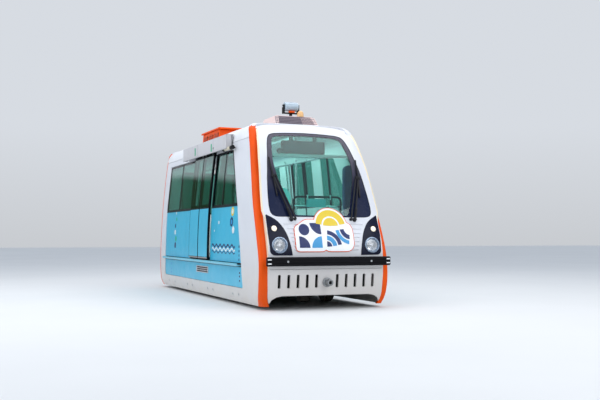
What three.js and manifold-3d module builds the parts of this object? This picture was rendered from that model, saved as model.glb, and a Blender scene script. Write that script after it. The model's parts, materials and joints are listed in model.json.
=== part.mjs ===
// Small monorail car with a raked glazed nose, hung double doors on both sides and two single-axle bogies.
// Millimetres. +X runs to the nose, +Y to the car's left, +Z up. The wheels stand on z = 0, and x = 0 is the
// middle of the doors. Every piece of the body follows one cross-section, one nose line and one tail line.
import * as THREE from "three";
import { mergeVertices } from "three/addons/utils/BufferGeometryUtils.js";
import Module from "manifold-3d";

const wasm = await Module();
wasm.setup();

// Driving dimensions
const SEAT_GAP = 0.3; // left between touching pieces
const SKIRT_Z = 50; // lower edge of the skirts, above the wheels' tread
const WALL_TOP = 2650; // where the side walls meet the roof shell
const CROWN_Z = 2920; // roof at the middle
const WALL_THICK = 60;
const SKIRT_THICK = 25;
const MASK_THICK = 45;
const RIB_INSET = 110; // how far the orange ribs reach in from the side
const PANEL_RECESS = 12; // windows and blue panels lie this deep in the white frame
const WAIST_Z = 1585; // lower edge of the windows
const DOOR_HALF = 620; // one leaf's width, and half the doorway
const DOOR_BOTTOM = 705;
const DOOR_TOP = 2560; // up inside the cover box
const FLOOR_Z = 715;
const BOGIE_X = 1900; // bogie pivots, fore and aft of the middle
const WHEEL_R = 250;
const WHEEL_Y = 600; // middle of the tread, from the centre line

// Half width of the cross-section at each height
const SECTION = [
  { z: 50, y: 1000 },
  { z: 150, y: 1036 },
  { z: 310, y: 1052 },
  { z: 680, y: 1055 },
  { z: 1100, y: 1049 },
  { z: WAIST_Z, y: 1026 },
  { z: 2100, y: 978 },
  { z: WALL_TOP, y: 918 },
];
// Front surface of the nose at each height. The windscreen's stretch is straight.
const NOSE = [
  { z: 50, x: 3250 },
  { z: 200, x: 3297 },
  { z: 400, x: 3320 },
  { z: 650, x: 3326 },
  { z: 850, x: 3306 },
  { z: 1000, x: 3276 },
  { z: 1150, x: 3228 },
  { z: 1300, x: 3165 },
  { z: 2720, x: 2546 },
  { z: 2800, x: 2500 },
  { z: 2860, x: 2432 },
  { z: 2900, x: 2325 },
  { z: 2916, x: 2210 },
  { z: CROWN_Z, x: 2080 },
];
// Where the side walls and the roof end at the nose, which is the rear edge of the front ribs
const NOSE_EDGE = [
  { z: 50, x: 3065 },
  { z: 130, x: 3140 },
  { z: 310, x: 3202 },
  { z: 680, x: 3222 },
  { z: 1100, x: 3145 },
  { z: 1600, x: 2935 },
  { z: 2150, x: 2682 },
  { z: 2650, x: 2425 },
  { z: 2750, x: 2362 },
  { z: 2830, x: 2296 },
  { z: 2892, x: 2205 },
  { z: CROWN_Z, x: 2110 },
];
// The coupling end: its flat wall, and where the side walls and the roof end there
const TAIL = [
  { z: 50, x: -3150 },
  { z: 130, x: -3182 },
  { z: 250, x: -3190 },
  { z: 2740, x: -3190 },
  { z: 2830, x: -3168 },
  { z: 2890, x: -3105 },
  { z: 2914, x: -3020 },
  { z: CROWN_Z, x: -2900 },
];
const TAIL_EDGE = [
  { z: 50, x: -3015 },
  { z: 110, x: -3075 },
  { z: 220, x: -3100 },
  { z: 2700, x: -3100 },
  { z: 2800, x: -3085 },
  { z: 2870, x: -3040 },
  { z: CROWN_Z, x: -2940 },
];

// Reads a table of {z, ...} rows at a height
function at(table, key, z) {
  if (z <= table[0].z) return table[0][key];
  for (let i = 1; i < table.length; i++) {
    const [a, b] = [table[i - 1], table[i]];
    if (z <= b.z) return a[key] + ((b[key] - a[key]) * (z - a.z)) / (b.z - a.z);
  }
  return table[table.length - 1][key];
}

// Solids from three.js geometry
function solid(geometry) {
  const bare = geometry.index ? geometry.toNonIndexed() : geometry.clone();
  bare.deleteAttribute("normal");
  bare.deleteAttribute("uv");
  const merged = mergeVertices(bare, 1e-3);
  const build = (triVerts) =>
    new wasm.Manifold(
      new wasm.Mesh({ numProp: 3, vertProperties: merged.attributes.position.array, triVerts }),
    );
  const index = new Uint32Array(merged.index.array);
  const made = build(index);
  if (made.volume() > 0) return made;
  for (let i = 0; i < index.length; i += 3) [index[i + 1], index[i + 2]] = [index[i + 2], index[i + 1]];
  return build(index);
}

function prism(points, depth) {
  const shape = new THREE.Shape(points.map(([a, b]) => new THREE.Vector2(a, b)));
  return new THREE.ExtrudeGeometry(shape, { depth, bevelEnabled: false });
}

// Outline of [y, z] points along X, of [x, z] points along Y, and of [x, y] points along Z
function alongX(points, x0, x1) {
  const turn = new THREE.Matrix4().set(0, 0, 1, x0, 1, 0, 0, 0, 0, 1, 0, 0, 0, 0, 0, 1);
  return solid(prism(points, x1 - x0).applyMatrix4(turn));
}
function alongY(points, y0, y1) {
  const turn = new THREE.Matrix4().set(1, 0, 0, 0, 0, 0, -1, y1, 0, 1, 0, 0, 0, 0, 0, 1);
  return solid(prism(points, y1 - y0).applyMatrix4(turn));
}
function alongZ(points, z0, z1) {
  return solid(prism(points, z1 - z0).translate(0, 0, z0));
}
function box(x0, x1, y0, y1, z0, z1) {
  const shape = new THREE.BoxGeometry(x1 - x0, y1 - y0, z1 - z0);
  return solid(shape.translate((x0 + x1) / 2, (y0 + y1) / 2, (z0 + z1) / 2));
}
// A round bar along an axis, from its start to its end, about the point (a, b) of the other two axes in order
function bar(axis, radius, from, to, a, b, sides = 16) {
  const shape = new THREE.CylinderGeometry(radius, radius, to - from, sides);
  shape.rotateY(Math.PI / sides);
  shape.translate(0, (from + to) / 2, 0);
  if (axis === "x") shape.rotateZ(-Math.PI / 2).translate(0, a, b);
  if (axis === "y") shape.translate(a, 0, b);
  if (axis === "z") shape.rotateX(Math.PI / 2).translate(a, b, 0);
  return solid(shape);
}
// A turned piece: [radius, length] points, closed on themselves or on the axis, turned about X, Y or Z
function turned(points, axis, centre, segments = 32) {
  const shape = new THREE.LatheGeometry(points.map(([r, l]) => new THREE.Vector2(r, l)), segments);
  shape.rotateY(Math.PI / segments);
  if (axis === "x") shape.rotateZ(-Math.PI / 2);
  if (axis === "z") shape.rotateX(Math.PI / 2);
  return solid(shape.translate(...centre));
}
// A skin through rings of [x, y, z] points that all have the same number of points
function loft(rings) {
  const n = rings[0].length;
  const index = [];
  for (let r = 0; r + 1 < rings.length; r++)
    for (let i = 0; i < n; i++) {
      const [a, b] = [r * n + i, r * n + ((i + 1) % n)];
      index.push(a, b, b + n, a, b + n, a + n);
    }
  const caps = (ring, base, flip) => {
    const flat = ring.map(([x, y]) => new THREE.Vector2(x, y));
    for (const [a, b, c] of THREE.ShapeUtils.triangulateShape(flat, []))
      index.push(...(flip ? [base + a, base + c, base + b] : [base + a, base + b, base + c]));
  };
  const ccw = THREE.ShapeUtils.area(rings[0].map(([x, y]) => new THREE.Vector2(x, y))) > 0;
  caps(rings[0], 0, ccw);
  caps(rings[rings.length - 1], (rings.length - 1) * n, !ccw);
  const shape = new THREE.BufferGeometry();
  shape.setAttribute("position", new THREE.Float32BufferAttribute(rings.flat(2), 3));
  shape.setIndex(index);
  return solid(shape);
}
const join = (first, ...rest) => rest.reduce((all, s) => all.add(s), first);

// The body's cross-section
const SHOULDER = { y: 740, z: WALL_TOP, wide: 178, high: 242, steps: 5 };
const ROOF_EDGE_Z = WALL_TOP + SHOULDER.high;
// Points of the shoulder and half the roof, from the wall's top to the crown, moved in by a depth
function roofLine(side, depth) {
  const points = [];
  for (let i = 0; i <= SHOULDER.steps; i++) {
    const turn = (i / SHOULDER.steps) * (Math.PI / 2);
    points.push([
      side * (SHOULDER.y + (SHOULDER.wide - depth) * Math.cos(turn)),
      SHOULDER.z + (SHOULDER.high - depth) * Math.sin(turn),
    ]);
  }
  for (const share of [0.6, 0.3])
    points.push([
      side * SHOULDER.y * share,
      ROOF_EDGE_Z + (CROWN_Z - ROOF_EDGE_Z) * (1 - share * share) - depth,
    ]);
  return points;
}
// Points of one side wall between two heights, moved in by a depth
function wallLine(side, z0, z1, depth) {
  const between = SECTION.map((row) => row.z).filter((z) => z > z0 && z < z1);
  return [z0, ...between, z1].map((z) => [side * (at(SECTION, "y", z) - depth), z]);
}
// The whole closed outline, moved in by a depth, down to a height
function outline(depth, z0 = SKIRT_Z) {
  const half = (side) => [...wallLine(side, z0, WALL_TOP, depth).slice(0, -1), ...roofLine(side, depth)];
  return [...half(1), [0, CROWN_Z - depth], ...half(-1).reverse()];
}
// A sheet that follows one side wall, between two depths
function wallBand(side, z0, z1, outer, inner, x0, x1) {
  const points = [...wallLine(side, z0, z1, outer), ...wallLine(side, z0, z1, inner).reverse()];
  return alongX(points, x0, x1);
}

// Everything in front of a nose line, or behind a tail line, moved by a distance along X
function beyond(table, reach, shift) {
  const line = table.map(({ x, z }) => [x + shift, z]);
  const [low, high] = [line[0], line[line.length - 1]];
  return alongY([[reach, -100], [low[0], -100], ...line, [high[0], 3500], [reach, 3500]], -1500, 1500);
}
const pastNose = (shift) => beyond(NOSE_EDGE, 4200, shift);
const pastTail = (shift) => beyond(TAIL_EDGE, -4200, shift);

// The window and panel field of a side wall: upright at the rear, leaning with the nose at the front
const FIELD_REAR_X = -2720;
const FIELD_FRONT = [
  { z: 280, x: 2455 },
  { z: 900, x: 2310 },
  { z: WAIST_Z, x: 2090 },
  { z: 2520, x: 1590 },
];
function fieldOutline(z0, z1, rear, inset) {
  const between = FIELD_FRONT.map((row) => row.z).filter((z) => z > z0 && z < z1);
  const front = [z0, ...between, z1].map((z) => [at(FIELD_FRONT, "x", z) - inset, z]);
  return [[rear, z0], ...front, [rear, z1]];
}
const WINDOW_TOP = 2520;
const GLASS_LAP = 45; // the glass laps this far over the edge of its opening
const WINDOWS = {
  rear: { name: "rear", outline: (inset) => windowBox(FIELD_REAR_X + 20, -DOOR_HALF - 25, inset) },
  front: { name: "front", outline: (inset) => leaningWindow(DOOR_HALF + 25, inset) },
};
function windowBox(x0, x1, inset) {
  return [
    [x0 + inset, WAIST_Z + inset],
    [x1 - inset, WAIST_Z + inset],
    [x1 - inset, WINDOW_TOP - inset],
    [x0 + inset, WINDOW_TOP - inset],
  ];
}
function leaningWindow(x0, inset) {
  return fieldOutline(WAIST_Z + inset, WINDOW_TOP - inset, x0 + inset, 20 + inset);
}

// One side of the body in two frames that meet just under the windows: the panelled wall with its skirt below,
// and the window frame above
const FRAME_SPLIT = WAIST_Z - 10;
function sideFrames(side) {
  const [low, high] = [-3300, 3400];
  const wall = wallBand(side, FLOOR_Z - 115, WALL_TOP - SEAT_GAP, 0, WALL_THICK, low, high);
  const skirt = wallBand(side, SKIRT_Z, FLOOR_Z - 115, 0, SKIRT_THICK, low, high);
  const across = side > 0 ? [600, 1400] : [-1400, -600];
  const recessMask = wallBand(side, SKIRT_Z, WALL_TOP, -200, PANEL_RECESS, low, high);
  const recess = alongY(fieldOutline(280, WINDOW_TOP, FIELD_REAR_X, 0), ...across).intersect(recessMask);
  const ledge = wallBand(side, 622, 640, -58, PANEL_RECESS + 5, FIELD_REAR_X + 30, 2330);
  const upstand = wallBand(side, 639, 664, -58, -50, FIELD_REAR_X + 30, 2330);
  let made = wall.add(skirt).subtract(recess);
  made = made.subtract(box(-DOOR_HALF + 30, DOOR_HALF - 30, ...across, FLOOR_Z, DOOR_TOP - 60));
  for (const w of Object.values(WINDOWS))
    made = made.subtract(alongY(w.outline(GLASS_LAP), ...across));
  made = made.subtract(box(-430, 430, ...across, 470, 600)); // vent under the doors
  made = join(made, ledge, upstand).subtract(pastNose(0)).subtract(pastTail(0));
  const band = (z0, z1) => made.intersect(box(-3400, 3500, ...across, z0, z1));
  return { below: band(0, FRAME_SPLIT - SEAT_GAP), above: band(FRAME_SPLIT, 2800) };
}

function sideGlass(side, w) {
  const across = side > 0 ? [600, 1400] : [-1400, -600];
  const sheet = wallBand(side, WAIST_Z - 5, WINDOW_TOP + 5, PANEL_RECESS - 8, PANEL_RECESS - SEAT_GAP, -3000, 3000);
  return sheet.intersect(alongY(w.outline(3), ...across));
}

// A vent grille of slats, framed, in the opening under the doors
function ventGrille(side) {
  const frame = wallBand(side, 470.3, 599.7, PANEL_RECESS, PANEL_RECESS + 14, -429.7, 429.7);
  const slots = [-1, 0, 1].map((row) => {
    const z = 535 + row * 38;
    return box(-400, 400, side > 0 ? 900 : -1200, side > 0 ? 1200 : -900, z - 12, z + 12);
  });
  return slots.reduce((made, slot) => made.subtract(slot), frame);
}

function roofShell() {
  const outer = [...roofLine(1, 0), [0, CROWN_Z], ...roofLine(-1, 0).reverse()];
  const inner = [...roofLine(1, WALL_THICK), [0, CROWN_Z - WALL_THICK], ...roofLine(-1, WALL_THICK).reverse()];
  const shell = alongX([...outer, ...inner.reverse()], -3300, 3400);
  return shell.subtract(pastNose(0)).subtract(pastTail(0));
}

// Moves a line of {z, x} points inwards along its own normal, towards smaller |x| and lower z at the top
function inset(table, depth, sign) {
  return table.map((row, i) => {
    const a = table[Math.max(0, i - 1)];
    const b = table[Math.min(table.length - 1, i + 1)];
    const along = new THREE.Vector2(b.x - a.x, b.z - a.z).normalize();
    return { x: row.x - sign * depth * Math.abs(along.y), z: row.z - depth * Math.abs(along.x) };
  });
}
// The solid space inside an end's face line, grown or shrunk
function endSpace(table, depth, sign, z0) {
  const line = inset(table, depth, sign).map(({ x, z }) => [x, z]);
  const top = line[line.length - 1];
  return alongY([[0, z0], [line[0][0], z0], ...line.filter(([, z]) => z > z0), [0, top[1]]], -1500, 1500);
}
// The opening in both ends' lower edges that clears the rail
const ARCH = [
  [-900, 0],
  [-900, 90],
  [-868, 150],
  [-800, 190],
  [-710, 207],
];
const archCut = () => alongX([...ARCH, ...ARCH.map(([y, z]) => [-y, z]).reverse()], -3600, 3600);
const RIB_BEND = 2640;
const RIB_TOP = 2795;
// The corner strips that the ribs fill
function ribCorner(side) {
  const inner = wallLine(side, 0, RIB_BEND, RIB_INSET + SEAT_GAP);
  const top = side * (ribHalf(RIB_TOP) - RIB_INSET - SEAT_GAP);
  return alongX([...inner, [top, RIB_TOP], [side * 1500, RIB_TOP], [side * 1500, 0]], -4000, 4000);
}
function endShell(face, thick, sign, past, corners) {
  const outer = alongX(outline(0), -3500, 3500).intersect(endSpace(face, 0, sign, SKIRT_Z));
  const inner = alongX(outline(thick, 0), -3500, 3500).intersect(endSpace(face, thick, sign, 0));
  let made = outer.subtract(inner).intersect(past).subtract(archCut());
  for (const corner of corners) made = made.subtract(corner);
  return made;
}

// Windscreen outline, half of it as [y, z]
const SCREEN = [
  [0, 2712],
  [330, 2708],
  [510, 2696],
  [580, 2675],
  [622, 2632],
  [700, 2470],
  [768, 2180],
  [815, 1800],
  [846, 1520],
  [842, 1450],
  [808, 1402],
  [740, 1382],
  [0, 1380],
];
function screenOutline(reach) {
  const middle = { y: 0, z: 2040 };
  const grow = ([y, z]) => [y + Math.sign(y) * reach, z + Math.sign(z - middle.z) * reach];
  const half = SCREEN.map(grow);
  return [...half, ...half.slice(1, -1).map(([y, z]) => [-y, z]).reverse()];
}
// A sheet that follows the nose between two depths
function noseSheet(outer, inner, z0, z1) {
  const rows = NOSE.map(({ z }) => z).filter((z) => z > z0 && z < z1);
  const heights = [z0, ...rows, z1];
  const front = heights.map((z) => [at(NOSE, "x", z) - outer, z]);
  const back = heights.map((z) => [at(NOSE, "x", z) - inner, z]).reverse();
  return alongY([...front, ...back], -1300, 1300);
}
const GLASS_SET = 14; // the windscreen's rebate in the mask
const LAMPS = { y: 760, z: 957, r: 128, y2: 820, z2: 1204, r2: 56 };
const SLOT = { half: 23, z0: 320, z1: 520, first: 170, pitch: 149, count: 5 };

function lampLeaf(side, grow) {
  const inner = new THREE.QuadraticBezierCurve(
    new THREE.Vector2(560 - grow, 795 - grow),
    new THREE.Vector2(640 - grow, 1230),
    new THREE.Vector2(905, 1415 + grow),
  );
  const points = inner.getPoints(7).map(({ x, y }) => [side * x, y]);
  const edge = (z) => side * (at(SECTION, "y", z) - RIB_INSET - 14 + grow);
  return [...points, [edge(1350), 1370], [edge(1000), 1000], [edge(900), 900], [side * 880, 825], [side * 820, 800 - grow]];
}

function noseMask() {
  const corners = [ribCorner(1), ribCorner(-1)];
  let made = endShell(NOSE, MASK_THICK, 1, pastNose(0.6), corners);
  made = made.subtract(alongX(screenOutline(0), 2000, 3600).intersect(noseSheet(-50, GLASS_SET, 1350, 2760)));
  made = made.subtract(alongX(screenOutline(-42), 2000, 3600));
  for (const side of [1, -1]) {
    for (let i = 0; i < SLOT.count; i++) {
      const y = side * (SLOT.first + i * SLOT.pitch);
      made = made.subtract(box(3000, 3600, y - SLOT.half, y + SLOT.half, SLOT.z0, SLOT.z1));
    }
    made = made.subtract(bar("x", LAMPS.r + 1, 2900, 3600, side * LAMPS.y, LAMPS.z, 32));
    made = made.subtract(bar("x", LAMPS.r2 + 1, 2900, 3600, side * LAMPS.y2, LAMPS.z2, 24));
  }
  return made;
}

function windscreen() {
  const sheet = noseSheet(2, GLASS_SET - SEAT_GAP, 1350, 2760);
  return sheet.intersect(alongX(screenOutline(-3), 2000, 3600));
}

// Leaf-shaped dark panels round the lamps
function lampPanel(side) {
  const leaf = alongX(lampLeaf(side, 0), 2900, 3600).intersect(noseSheet(-8, -SEAT_GAP, 760, 1450));
  return leaf
    .subtract(bar("x", LAMPS.r + 1, 2900, 3600, side * LAMPS.y, LAMPS.z, 32))
    .subtract(bar("x", LAMPS.r2 + 1, 2900, 3600, side * LAMPS.y2, LAMPS.z2, 24));
}
// Two lamp barrels through the mask, held by one bracket behind it
function headlampCluster(side) {
  const face = (z) => at(NOSE, "x", z);
  const barrel = (r, x0, x1) => [[0, x0], [r, x0], [r, x1 - 12], [r - 12, x1], [0, x1]];
  const main = turned(barrel(LAMPS.r, 3180, face(LAMPS.z) + 18), "x", [0, side * LAMPS.y, LAMPS.z], 32);
  const marker = turned(barrel(LAMPS.r2, 3125, face(LAMPS.z2) + 16), "x", [0, side * LAMPS.y2, LAMPS.z2], 24);
  const bracket = box(3120, 3135, side * 800 - 45, side * 800 + 45, 900, 1240);
  const stem = bar("x", 40, 3130, 3185, side * LAMPS.y, LAMPS.z, 12);
  return join(main, marker, bracket.add(stem).add(box(3130, 3145, side * 780 - 60, side * 780 + 60, 920, 1000)));
}

// Orange corner ribs: a rounded strip between the side wall's edge and the end's face
const RIB_SHAPE = [
  { along: 0, in: 0 },
  { along: 0.42, in: 10 },
  { along: 0.74, in: 34 },
  { along: 0.93, in: 72 },
  { along: 1, in: RIB_INSET },
  { along: 0.62, in: RIB_INSET },
  { along: 0, in: 62 },
];
// Half width at the ribs, which lean in over the shoulder
const ribHalf = (z) => at(SECTION, "y", Math.min(z, RIB_BEND)) - (Math.max(0, z - RIB_BEND) / (RIB_TOP - RIB_BEND)) * 28;
function cornerRib(side, face, edge, sign) {
  const rows = [...SECTION, ...face, ...edge, { z: RIB_BEND }].map((row) => row.z);
  const heights = [...new Set([SKIRT_Z, ...rows.filter((z) => z > SKIRT_Z && z < RIB_TOP), RIB_TOP - SEAT_GAP])];
  const rings = heights.sort((a, b) => a - b).map((z) => {
    const start = at(edge, "x", z) + sign * 0.4;
    const reach = at(face, "x", z) + sign * 3 - start;
    return RIB_SHAPE.map((p) => [start + reach * p.along, side * (ribHalf(z) - p.in), z]);
  });
  return loft(rings);
}

function rearWall() {
  const corners = [ribCorner(1), ribCorner(-1)];
  const made = endShell(TAIL, MASK_THICK, -1, pastTail(-0.6), corners);
  const pane = REAR_PANE(0);
  return made
    .subtract(alongX(pane, -3300, -3190 + GLASS_SET))
    .subtract(alongX(REAR_PANE(-40), -3400, -3000));
}
const REAR_PANE = (grow) => [
  [-620 - grow, 1540 - grow],
  [620 + grow, 1540 - grow],
  [620 + grow, 2380],
  [540, 2480 + grow],
  [-540, 2480 + grow],
  [-620 - grow, 2380],
];
const rearWindow = () => alongX(REAR_PANE(-3), -3188, -3190 + GLASS_SET - SEAT_GAP);

function floorDeck() {
  const half = at(SECTION, "y", FLOOR_Z) - WALL_THICK - SEAT_GAP;
  const nose = [[3060, half], [3190, 900], [3230, 700], [3230, -700], [3190, -900], [3060, -half]];
  return alongZ([[-3060, -half], [-3144.4, -880], [-3144.4, 880], [-3060, half], ...nose], 640, FLOOR_Z);
}

// Underframe: sills, cross-members and a bolster with a pivot bore over each bogie
const PIVOT_R = 60;
const BEARING_GAP = 0.35; // between a turning pin and the flats of its bore
const boreRadius = (r, sides) => (r + BEARING_GAP) / Math.cos(Math.PI / sides);
function underframe() {
  const top = 640 - SEAT_GAP;
  let made = join(box(-3050, 3100, 455, 525, 525, top), box(-3050, 3100, -525, -455, 525, top));
  for (const x of [-2990, -950, 0, 950, 2990])
    made = made.add(box(x - 45, x + 45, -960, 960, 545, top));
  for (const x of [-BOGIE_X, BOGIE_X]) {
    made = made.add(box(x - 190, x + 190, -900, 900, 520, top));
    made = made.subtract(bar("z", boreRadius(PIVOT_R, 32), 400, 625, x, 0, 32));
  }
  const buffer = box(3080, 3240, -150, 150, 335, 470);
  const drawgear = join(box(-3110, -2990, -150, 150, 330, 630), box(2990, 3090, -150, 150, 330, 630), buffer);
  return made.add(drawgear);
}

// Bogies: one axle between two side beams, a pivot on top, and a guide wheel ahead and behind on the centre line
const AXLE_R = 45;
const GUIDE = { x: 450, r: 108, z0: 58, z1: 138, pin: 22 };
function bogieFrame(x, motorSide) {
  let made = box(x - 130, x + 130, -455, 455, 320, 430);
  for (const side of [1, -1]) {
    made = made.add(box(x - 300, x + 300, side * 425 - 32, side * 425 + 32, 170, 335));
    made = made.add(box(x - 85, x + 85, side * 425 - 45, side * 425 + 45, 165, 345));
  }
  made = made.add(box(x - 520, x + 520, -70, 70, 322, 402));
  made = made.add(bar("z", 170, 425, 520 - SEAT_GAP, x, 0, 24));
  made = made.add(bar("z", PIVOT_R, 500, 620, x, 0, 32));
  for (const way of [1, -1]) {
    made = made.add(bar("z", GUIDE.pin, GUIDE.z0 - 6, 330, x + way * GUIDE.x, 0, 24));
    made = made.add(bar("z", 40, GUIDE.z0 - 12, GUIDE.z0 - SEAT_GAP, x + way * GUIDE.x, 0, 16));
    made = made.add(bar("z", 48, GUIDE.z1 + 6, 330, x + way * GUIDE.x, 0, 16));
  }
  const motor = box(x + motorSide * 200 - 90, x + motorSide * 200 + 90, -380, -110, 150, 340);
  made = made.add(motor);
  return made.subtract(bar("y", boreRadius(AXLE_R, 32), -600, 600, x, WHEEL_R, 32));
}
const WHEEL_SIDES = 28;
function wheelset(x) {
  const rim = WHEEL_R / Math.cos(Math.PI / WHEEL_SIDES);
  const wheel = (s) => [
    [AXLE_R - 5, s * (WHEEL_Y - 68)],
    [rim - 8, s * (WHEEL_Y - 68)],
    [rim, s * (WHEEL_Y - 60)],
    [rim, s * (WHEEL_Y + 60)],
    [rim - 8, s * (WHEEL_Y + 68)],
    [190, s * (WHEEL_Y + 68)],
    [182, s * (WHEEL_Y + 20)],
    [88, s * (WHEEL_Y + 30)],
    [84, s * (WHEEL_Y + 80)],
    [AXLE_R - 5, s * (WHEEL_Y + 80)],
  ];
  const made = [1, -1].map((s) => {
    const line = wheel(s);
    return turned([...line, line[0]], "y", [x, 0, WHEEL_R], WHEEL_SIDES);
  });
  return join(bar("y", AXLE_R, -WHEEL_Y - 90, WHEEL_Y + 90, x, WHEEL_R, 32), ...made);
}
function guideWheel(x) {
  const bore = boreRadius(GUIDE.pin, 24);
  const line = [[bore, 0], [GUIDE.r - 8, 0], [GUIDE.r, 8], [GUIDE.r, 72], [GUIDE.r - 8, 80], [bore, 80], [bore, 0]];
  const flip = line.map(([r, l]) => [r, -l]);
  return turned(flip, "z", [x, 0, GUIDE.z1], 24).subtract(bar("z", bore, 0, 400, x, 0, 24));
}

// Door leaves, hung outside the wall from a rail in the cover box
const HANG = { railY: 962, railZ: 2655, hookY: 945, tabY: 972 };
const LEAF = { gap: 5, outer: -50, inner: -10, x0: 4 };
function doorLeaf(side, way) {
  const [near, far] = [LEAF.x0, DOOR_HALF - 2];
  const xs = way > 0 ? [near, far] : [-far, -near];
  const leaf = wallBand(side, DOOR_BOTTOM, DOOR_TOP, LEAF.outer, LEAF.inner, ...xs);
  const across = side > 0 ? [700, 1300] : [-1300, -700];
  const frame = (lap) => [xs[0] + lap, xs[1] - lap, ...across, WAIST_Z + lap, DOOR_TOP - lap];
  const rebate = wallBand(side, WAIST_Z + 12, DOOR_TOP - 34, -100, LEAF.outer + 9, xs[0] + 12, xs[1] - 12);
  let made = leaf.subtract(rebate).subtract(box(...frame(62)));
  const tongue = wallBand(side, 645, DOOR_BOTTOM + 2, -42, -34, xs[0] + 60, xs[1] - 60);
  made = made.add(tongue);
  for (const x of [xs[0] + 90, xs[1] - 90]) {
    const hook = [
      [HANG.tabY, DOOR_TOP - 25],
      [HANG.tabY + 12, DOOR_TOP - 25],
      [HANG.tabY + 12, HANG.railZ + 55],
      [HANG.hookY, HANG.railZ + 55],
      [HANG.hookY, HANG.railZ + SEAT_GAP],
      [HANG.tabY, HANG.railZ + SEAT_GAP],
    ];
    made = made.add(alongX(hook.map(([y, z]) => [side * y, z]), x - 35, x + 35));
  }
  return made;
}
function doorGlass(side, way) {
  const xs = way > 0 ? [LEAF.x0 + 14, DOOR_HALF - 16] : [-DOOR_HALF + 16, -LEAF.x0 - 14];
  return wallBand(side, WAIST_Z + 14, DOOR_TOP - 36, LEAF.outer + 1, LEAF.outer + 9 - SEAT_GAP, ...xs);
}
// Cover box over the door rail, open below
const COVER = { x0: -1300, x1: 1780, z0: 2537, backZ0: 2580, z1: 2788, outer: 1046, skin: 8, back: 934 };
function doorCover(side) {
  const wallSide = wallLine(1, COVER.z0, WALL_TOP, -SEAT_GAP);
  for (const [y, z] of roofLine(1, -SEAT_GAP)) if (z > WALL_TOP + 5 && z < COVER.z1) wallSide.push([y, z]);
  const outer = [
    ...wallSide,
    [wallSide[wallSide.length - 1][0] - 6, COVER.z1],
    [COVER.outer - 20, COVER.z1],
    [COVER.outer, COVER.z1 - 20],
    [COVER.outer, COVER.z0],
  ];
  const cavity = [
    [880, COVER.z0 - 20],
    [880, COVER.backZ0],
    [COVER.back + 4, COVER.backZ0],
    [COVER.back + 4, HANG.railZ - 22],
    [HANG.railY, HANG.railZ - 22],
    [HANG.railY, HANG.railZ],
    [COVER.back, HANG.railZ],
    [COVER.back, COVER.z1 - COVER.skin],
    [COVER.outer - 24, COVER.z1 - COVER.skin],
    [COVER.outer - COVER.skin, COVER.z1 - 24],
    [COVER.outer - COVER.skin, COVER.z0 - 20],
  ];
  const run = (points, inset) => alongX(points.map(([y, z]) => [side * y, z]), COVER.x0 + inset, COVER.x1 - inset);
  return run(outer, 0).subtract(run(cavity, COVER.skin));
}

// Front bumper bar on four brackets, tow socket and rear drawbar
function bumperBar() {
  const section = [[3376, 650], [3424, 650], [3430, 656], [3430, 779], [3424, 785], [3376, 785]];
  let made = alongY(section, -1005, 1005);
  const face = (z) => at(NOSE, "x", z) + SEAT_GAP;
  const foot = [[face(670), 670], [3380, 670], [3380, 765], [face(765), 765]];
  for (const y of [-640, -220, 220, 640]) made = made.add(alongY(foot, y - 35, y + 35));
  return made;
}
function towSocket() {
  const base = at(NOSE, "x", 472) + SEAT_GAP;
  const line = [[0, base], [72, base], [72, base + 16], [48, base + 24], [48, 3428], [26, 3428], [26, 3390], [0, 3390]];
  return turned(line, "x", [0, 0, 400], 24);
}
function drawbar() {
  const base = -3190 - SEAT_GAP;
  const line = [[0, base], [80, base], [80, base - 18], [46, base - 26], [46, -3380], [0, -3380]];
  const eye = bar("z", 50, 362, 438, -3380, 0, 20).subtract(bar("z", 24, 300, 500, -3380, 0, 16));
  const rod = turned(line, "x", [0, 0, 400], 20).subtract(bar("z", 24, 300, 500, -3380, 0, 16));
  return rod.add(eye);
}

// Wipers, drawn flat in the windscreen's own plane and then laid on it
const RAKE = Math.atan((3165 - 2546) / (2720 - 1300));
const WIPER = { y: 525, z: 1340, armY: 192, armV: 720, bladeHalf: 335, lean: 0.07 };
function onScreen(shape, side) {
  const lay = new THREE.Matrix4().makeRotationY(-RAKE);
  const origin = [at(NOSE, "x", WIPER.z), side * WIPER.y, WIPER.z];
  return solid(shape.applyMatrix4(lay).translate(...origin));
}
// A flat bar between two [across, up] points, from one height over the glass to another
function wiperBar(side, from, to, width, low, high) {
  const [dy, dz] = [to[0] - from[0], to[1] - from[1]];
  const long = Math.hypot(dy, dz);
  const shape = new THREE.BoxGeometry(high - low, width, long);
  shape.rotateX(-Math.atan2(dy, dz));
  shape.translate((low + high) / 2, (from[0] + to[0]) / 2, (from[1] + to[1]) / 2);
  if (side < 0) {
    shape.scale(1, -1, 1);
  }
  return onScreen(shape, side);
}
function wiper(side) {
  const head = [WIPER.armY, WIPER.armV];
  const boss = new THREE.CylinderGeometry(26, 26, 44, 16).rotateY(0.1).rotateZ(-Math.PI / 2).translate(SEAT_GAP + 22, 0, 0);
  const boss2 = new THREE.CylinderGeometry(18, 18, 36, 16).rotateY(0.1).rotateZ(-Math.PI / 2).translate(26, -62, 8);
  if (side < 0) boss2.translate(0, 124, 0);
  const blade = (share) => [
    head[0] + Math.sin(WIPER.lean) * WIPER.bladeHalf * share,
    head[1] + Math.cos(WIPER.lean) * WIPER.bladeHalf * share,
  ];
  return join(
    onScreen(boss, side),
    onScreen(boss2, side),
    wiperBar(side, [-62, 8], [0, 0], 30, 26, 40),
    wiperBar(side, [0, 0], head, 26, 30, 46),
    wiperBar(side, [-62, 8], [head[0] - 40, head[1] + 4], 16, 30, 42),
    wiperBar(side, [head[0] - 50, head[1] + 5], [head[0] + 16, head[1]], 60, 24, 50),
    wiperBar(side, blade(-1), blade(1), 18, 8, 28),
  );
}

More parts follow.
